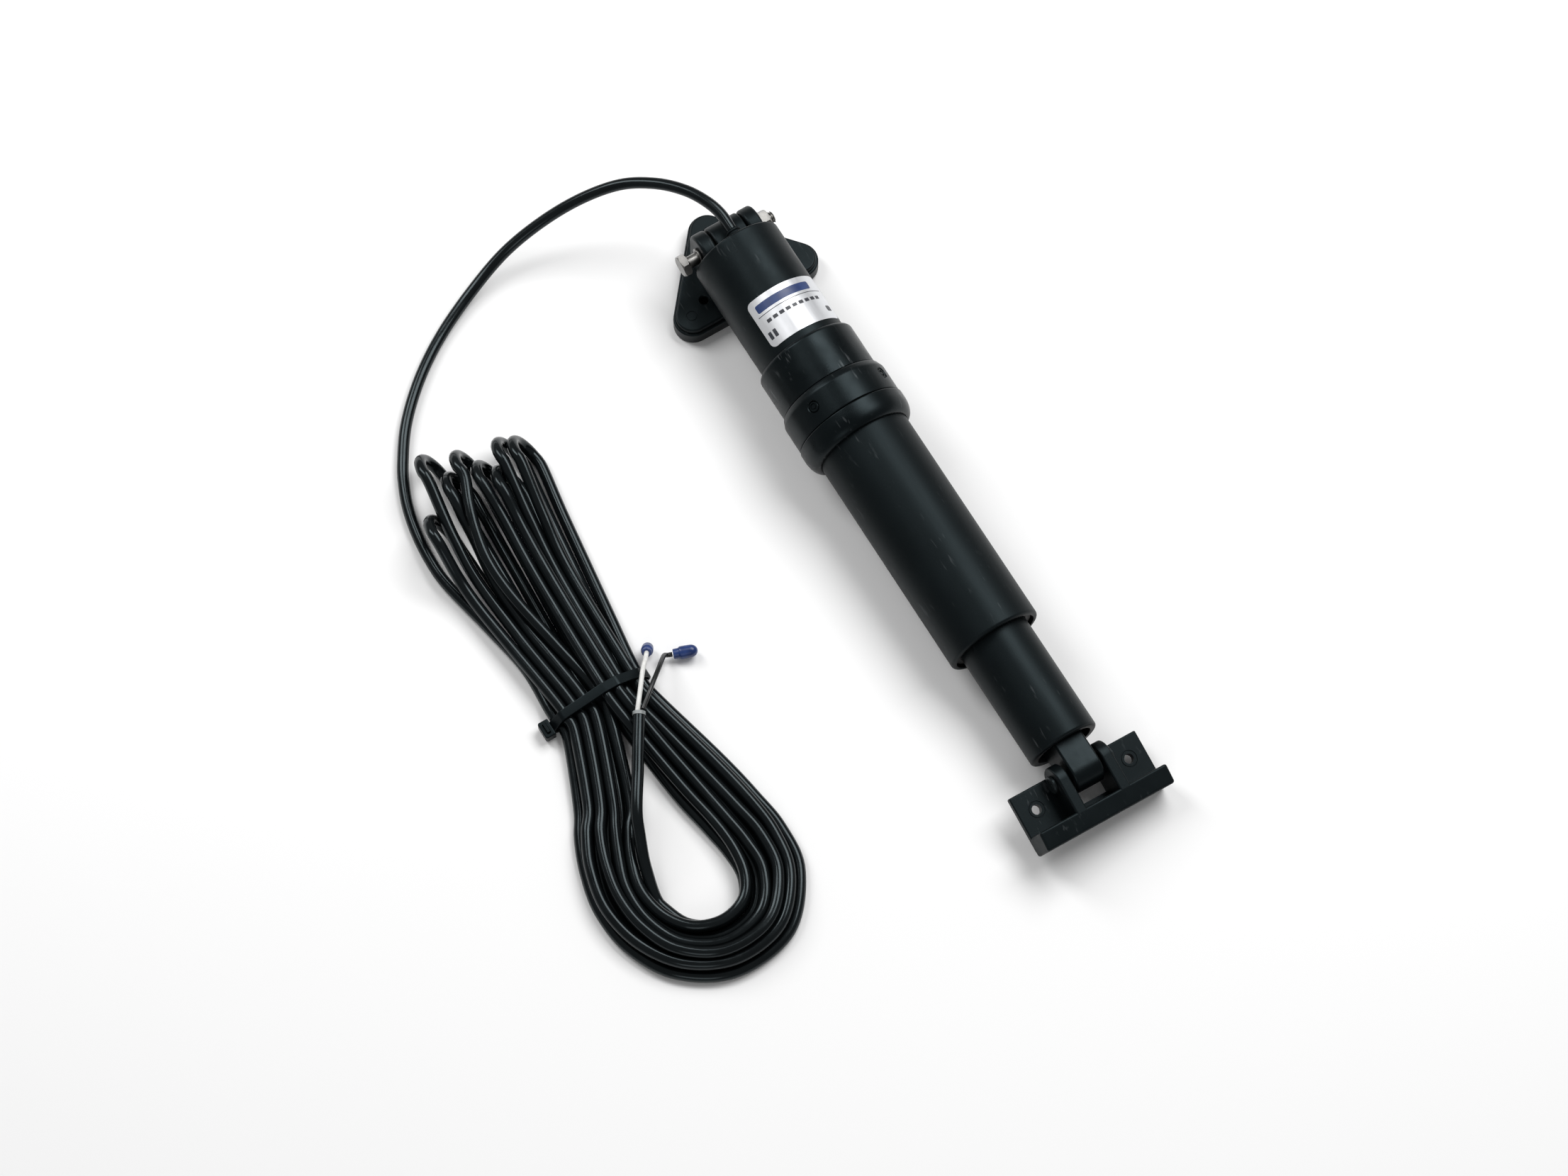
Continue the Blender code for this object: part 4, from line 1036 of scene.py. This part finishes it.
def build_lower_bracket():
    """A plate with two wings, a wedge-shaped bar along its edge and two ears for the pin."""
    half, bottom, top, thickness = 35.5, -9, 8, 3.4
    front, bar_start, bar_end = -4.1, 16.3, 25.9
    wing_top, plate_end, foot = bottom + thickness, bar_end - 2, bottom + 1.7
    plate = [(front, bottom), (plate_end, bottom), (plate_end, wing_top), (front, wing_top)]
    bar = [(bar_start, bottom), (bar_end, bottom), (bar_end, top - 1.2), (bar_start, top)]
    bracket = union(bevelled_prism(plate, 0.03 - half, half - 0.03, 0.7),
                    bevelled_prism(bar, -half, half, 1.2))
    inner, outer = 9.35, 14.95
    ear = arc(0, 0, top, 90, 230, 18) + [(front + 1.5, foot), (bar_start + 1, foot), (bar_start + 1, top)]
    for low, high in ((-outer, -inner), (inner, outer)):
        lug = extruded(lambda inset: inset_polygon(ear, inset), low, high, 0.9, "Y")
        bracket = union(bracket, lug)
    bracket = difference(bracket, block(-20, bar_start - 2, -inner, inner, -20, 20),
                         cylinder(-20, 20, PIN_HOLE_RADIUS, turn=TO_Y))
    rim = [(wing_top - 0.35, 3.7), (wing_top - 0.35, 4), (wing_top + 0.3, 4.25), (wing_top + 0.3, 3.45)]
    for side in (-1, 1):
        upright = Matrix.Translation((6.2, side * 26, 0)) @ TO_Z
        bracket = difference(bracket, cylinder(-20, 0, 2.4, turn=upright),
                             moved(turned(rim, 48, closed=True), upright))
    link_moulded("lower_bracket", "detail", bracket, "rod_bracket", 0.36, 0.48, 0.35)


def build_lower_pin():
    """The pin through the ears, with a slotted head and an open clip on its end."""
    reach = 15.25
    profile = [(-reach - 1.5, 0), (-reach - 1.5, 3.6), (-reach - 1, 4.3), (-reach, 4.4), (-reach, 3),
               (reach + 1.9, 3), (reach + 2.2, 2.6), (reach + 2.2, 0)]
    mat = moulded_plastic("pin_plastic", 0.22, 0.34, dark=SLATE, light=PALE_SLATE)
    slot_cut = block(-3, 3, -reach - 3, -reach - 0.9, -0.6, 0.6)
    pin = difference(moved(turned(profile, 48), TO_Y), slot_cut)
    link_piece("lower_pin_detail", pin, mat, "rod_bracket", "lower_pin")
    ring = moved(shell(reach, reach + 1.2, 4.8, 3.3, 0.4, 48), TO_Y)
    clip = difference(ring, block(2, 8, reach - 1, reach + 3, -1.3, 1.3))
    link_piece("lower_pin_clip_detail", clip, mat, "rod_bracket", "lower_pin_clip")


# ---- upper bracket and its bolt

LOBE_CENTRES = ((-21.5, 0), (14.6, -30), (14.6, 30))
SCREW_HOLES = ((-20, 0), (10.2, -21), (10.2, 21))
EYELET = (14.6, -30.5, 0)


def rounded_triangle(radius):
    """Plan of the plate: one lobe behind the bolt and two in front, joined by straight sides."""
    outline = []
    for before, here, after in corner_triples(LOBE_CENTRES):
        side = here - before
        start = math.degrees(math.atan2(side.y, side.x)) - 90
        outline += arc(*here, radius, start, start - math.degrees(side.angle_signed(after - here)), 16)
    return outline


def build_upper_bracket():
    """The plate in two steps, two ears for the bolt, and countersunk screw holes."""
    floor = -BOLT.z / MM
    top, lobe = floor + 11, 9.5
    foot = extruded(lambda inset: rounded_triangle(lobe - inset), floor, floor + 8.2, 0.9)
    plateau = extruded(lambda inset: rounded_triangle(lobe - 1.3 - inset), floor + 2, top, 1)
    bracket = union(foot, plateau)
    inner, outer, radius = 9.2, 16.5, 10.5

    def ear_outline(inset):
        r = radius - inset
        return arc(0, 0, r, -70, 180, 30) + [(-r, top - 1), (2.5 - inset, top - 1)]

    for low, high in ((-outer, -inner), (inner, outer)):
        bracket = union(bracket, extruded(ear_outline, low, high, 1.6, "Y", 5))
    bracket = difference(bracket, cylinder(-20, 20, PIN_HOLE_RADIUS, turn=TO_Y))
    hole = [(floor - 1, 0), (floor - 1, 2.2), (top - 0.5, 2.2), (top + 1, 3.6), (top + 1, 0)]
    for x, y in SCREW_HOLES:
        bracket = difference(bracket, moved(turned(hole, 40), Matrix.Translation((x, y, 0)) @ TO_Z))
    rim = [(top - 0.3, 2.3), (top - 0.3, 2.6), (top + 0.3, 2.8), (top + 0.3, 2.1)]
    ring = moved(turned(rim, 40, closed=True), Matrix.Translation(EYELET) @ TO_Z)
    link_moulded("upper_bracket", "detail", difference(bracket, ring), "hull_bracket", 0.33, 0.46, 0.25,
                 light=LIGHT_SLATE)


def hexagon_prism(across_flats, low, high):
    """A hexagon bar along Y whose end corners are turned off, as on a real bolt head."""
    r = across_flats / math.sqrt(3)
    bar = ring_loft([[(x, y, z) for x, z in arc(0, 0, r, 0, 300, 5)] for y in (low, high)])
    face = 0.5 * across_flats * 0.97
    cone = turned([(low, 0), (low, face), (low + 0.75, r * 1.01), (high - 0.75, r * 1.01), (high, face),
                   (high, 0)], 72)
    return boolean(bar, moved(cone, TO_Y), "INTERSECT")


def build_pivot_bolt():
    """An M6 hexagon bolt with its thread's crests and roots, a washer and a nut."""
    steel = machined_metal("bolt_steel", STEEL_DARK, STEEL_LIGHT, 0.28, 0.42, (1, 1, 1), 700)
    head_in, tip, shank, root = -23.6, 24.5, 3, 2.45
    body = [(head_in - 0.5, 0), (head_in - 0.5, shank + 0.5), (head_in + 0.2, shank), (12, shank)]
    for crest in range(12, 24):
        body += [(crest + 0.35, root), (crest + 0.65, root), (crest + 1, shank)]
    body += [(tip - 0.5, shank - 0.3), (tip, shank - 0.8), (tip, 0)]
    bolt = union(hexagon_prism(10, head_in - 4, head_in), moved(turned(body, 48), TO_Y))
    washer = moved(shell(-17.8, -16.8, 4.6, 3.3, 0.25, 48), TO_Y)
    nut = difference(hexagon_prism(10, 16.8, 21.8), cylinder(15, 25, 3.2, turn=TO_Y))
    for name, piece in (("bolt", bolt), ("washer", washer), ("nut", nut)):
        link_piece(f"pivot_{name}_detail", piece, steel, "hull_bracket", f"pivot_{name}")


# ---- parts inside the housing


def paint_inner_parts():
    """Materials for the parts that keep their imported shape."""
    steel = machined_metal("turned_steel", (0.4, 0.4, 0.41), (0.58, 0.58, 0.59), 0.24, 0.38, (1, 12, 12), 500)
    plated = machined_metal("plated_steel", (0.44, 0.44, 0.42), (0.6, 0.6, 0.57), 0.3, 0.46, (6, 1, 1), 400)
    brass = machined_metal("brass", (0.52, 0.36, 0.13), (0.7, 0.51, 0.22), 0.22, 0.36, (1, 8, 8), 500)
    copper = machined_metal("copper", (0.5, 0.22, 0.12), (0.72, 0.36, 0.22), 0.24, 0.4, (10, 1, 1), 600)
    acetal = smooth_finish("acetal", (0.6, 0.58, 0.52), (0.72, 0.7, 0.64), 0.4)
    nylon = smooth_finish("gear_nylon", (0.3, 0.31, 0.3), (0.42, 0.43, 0.41), 0.42)
    ferrite = smooth_finish("ferrite", (0.03, 0.03, 0.032), (0.055, 0.055, 0.058), 0.62)
    carbon = smooth_finish("brush_carbon", (0.012, 0.012, 0.013), (0.024, 0.024, 0.026), 0.5)
    rubber = smooth_finish("seal_rubber", (0.006, 0.007, 0.007), (0.013, 0.014, 0.014), 0.58)
    plastic = moulded_plastic("end_bell_plastic", 0.36, 0.48)
    planets = tuple(f"planet_{stage}_{i}" for stage in (1, 2) for i in (1, 2, 3))
    kinds = (
        (plated, ("motor_can", "motor_mount_plate", "bearing_plate", "tube_retaining_ring")),
        (steel, ("motor_shaft", "lead_screw", "screw_bearing", "carrier_1", "carrier_2", "armature")),
        (brass, ("sun_gear_1", "sun_gear_2")),
        (copper, ("commutator",)),
        (acetal, ("drive_nut", "ram_guide_ring", "ram_guide_bush")),
        (nylon, ("ring_gear",) + planets),
        (ferrite, ("magnet_1", "magnet_2")),
        (carbon, ("brush_1", "brush_2")),
        (rubber, ("ram_wiper_seal",)),
        (plastic, ("motor_end_bell",)),
    )
    for mat, names in kinds:
        for name in names:
            for slot in frame["nodes"][name].material_slots:
                slot.material = mat


add_camera()
add_stage()
cable, cable_points = build_cable()
tie = build_tie(cable_points)
build_cores()
build_jacket_end(cable_points)
build_motor_housing()
build_label()
build_gear_housing()
build_collar()
build_nose_cap()
build_tubes()
strain_relief = build_gland()
build_rod_eye()
build_lower_bracket()
build_lower_pin()
build_upper_bracket()
build_pivot_bolt()
paint_inner_parts()
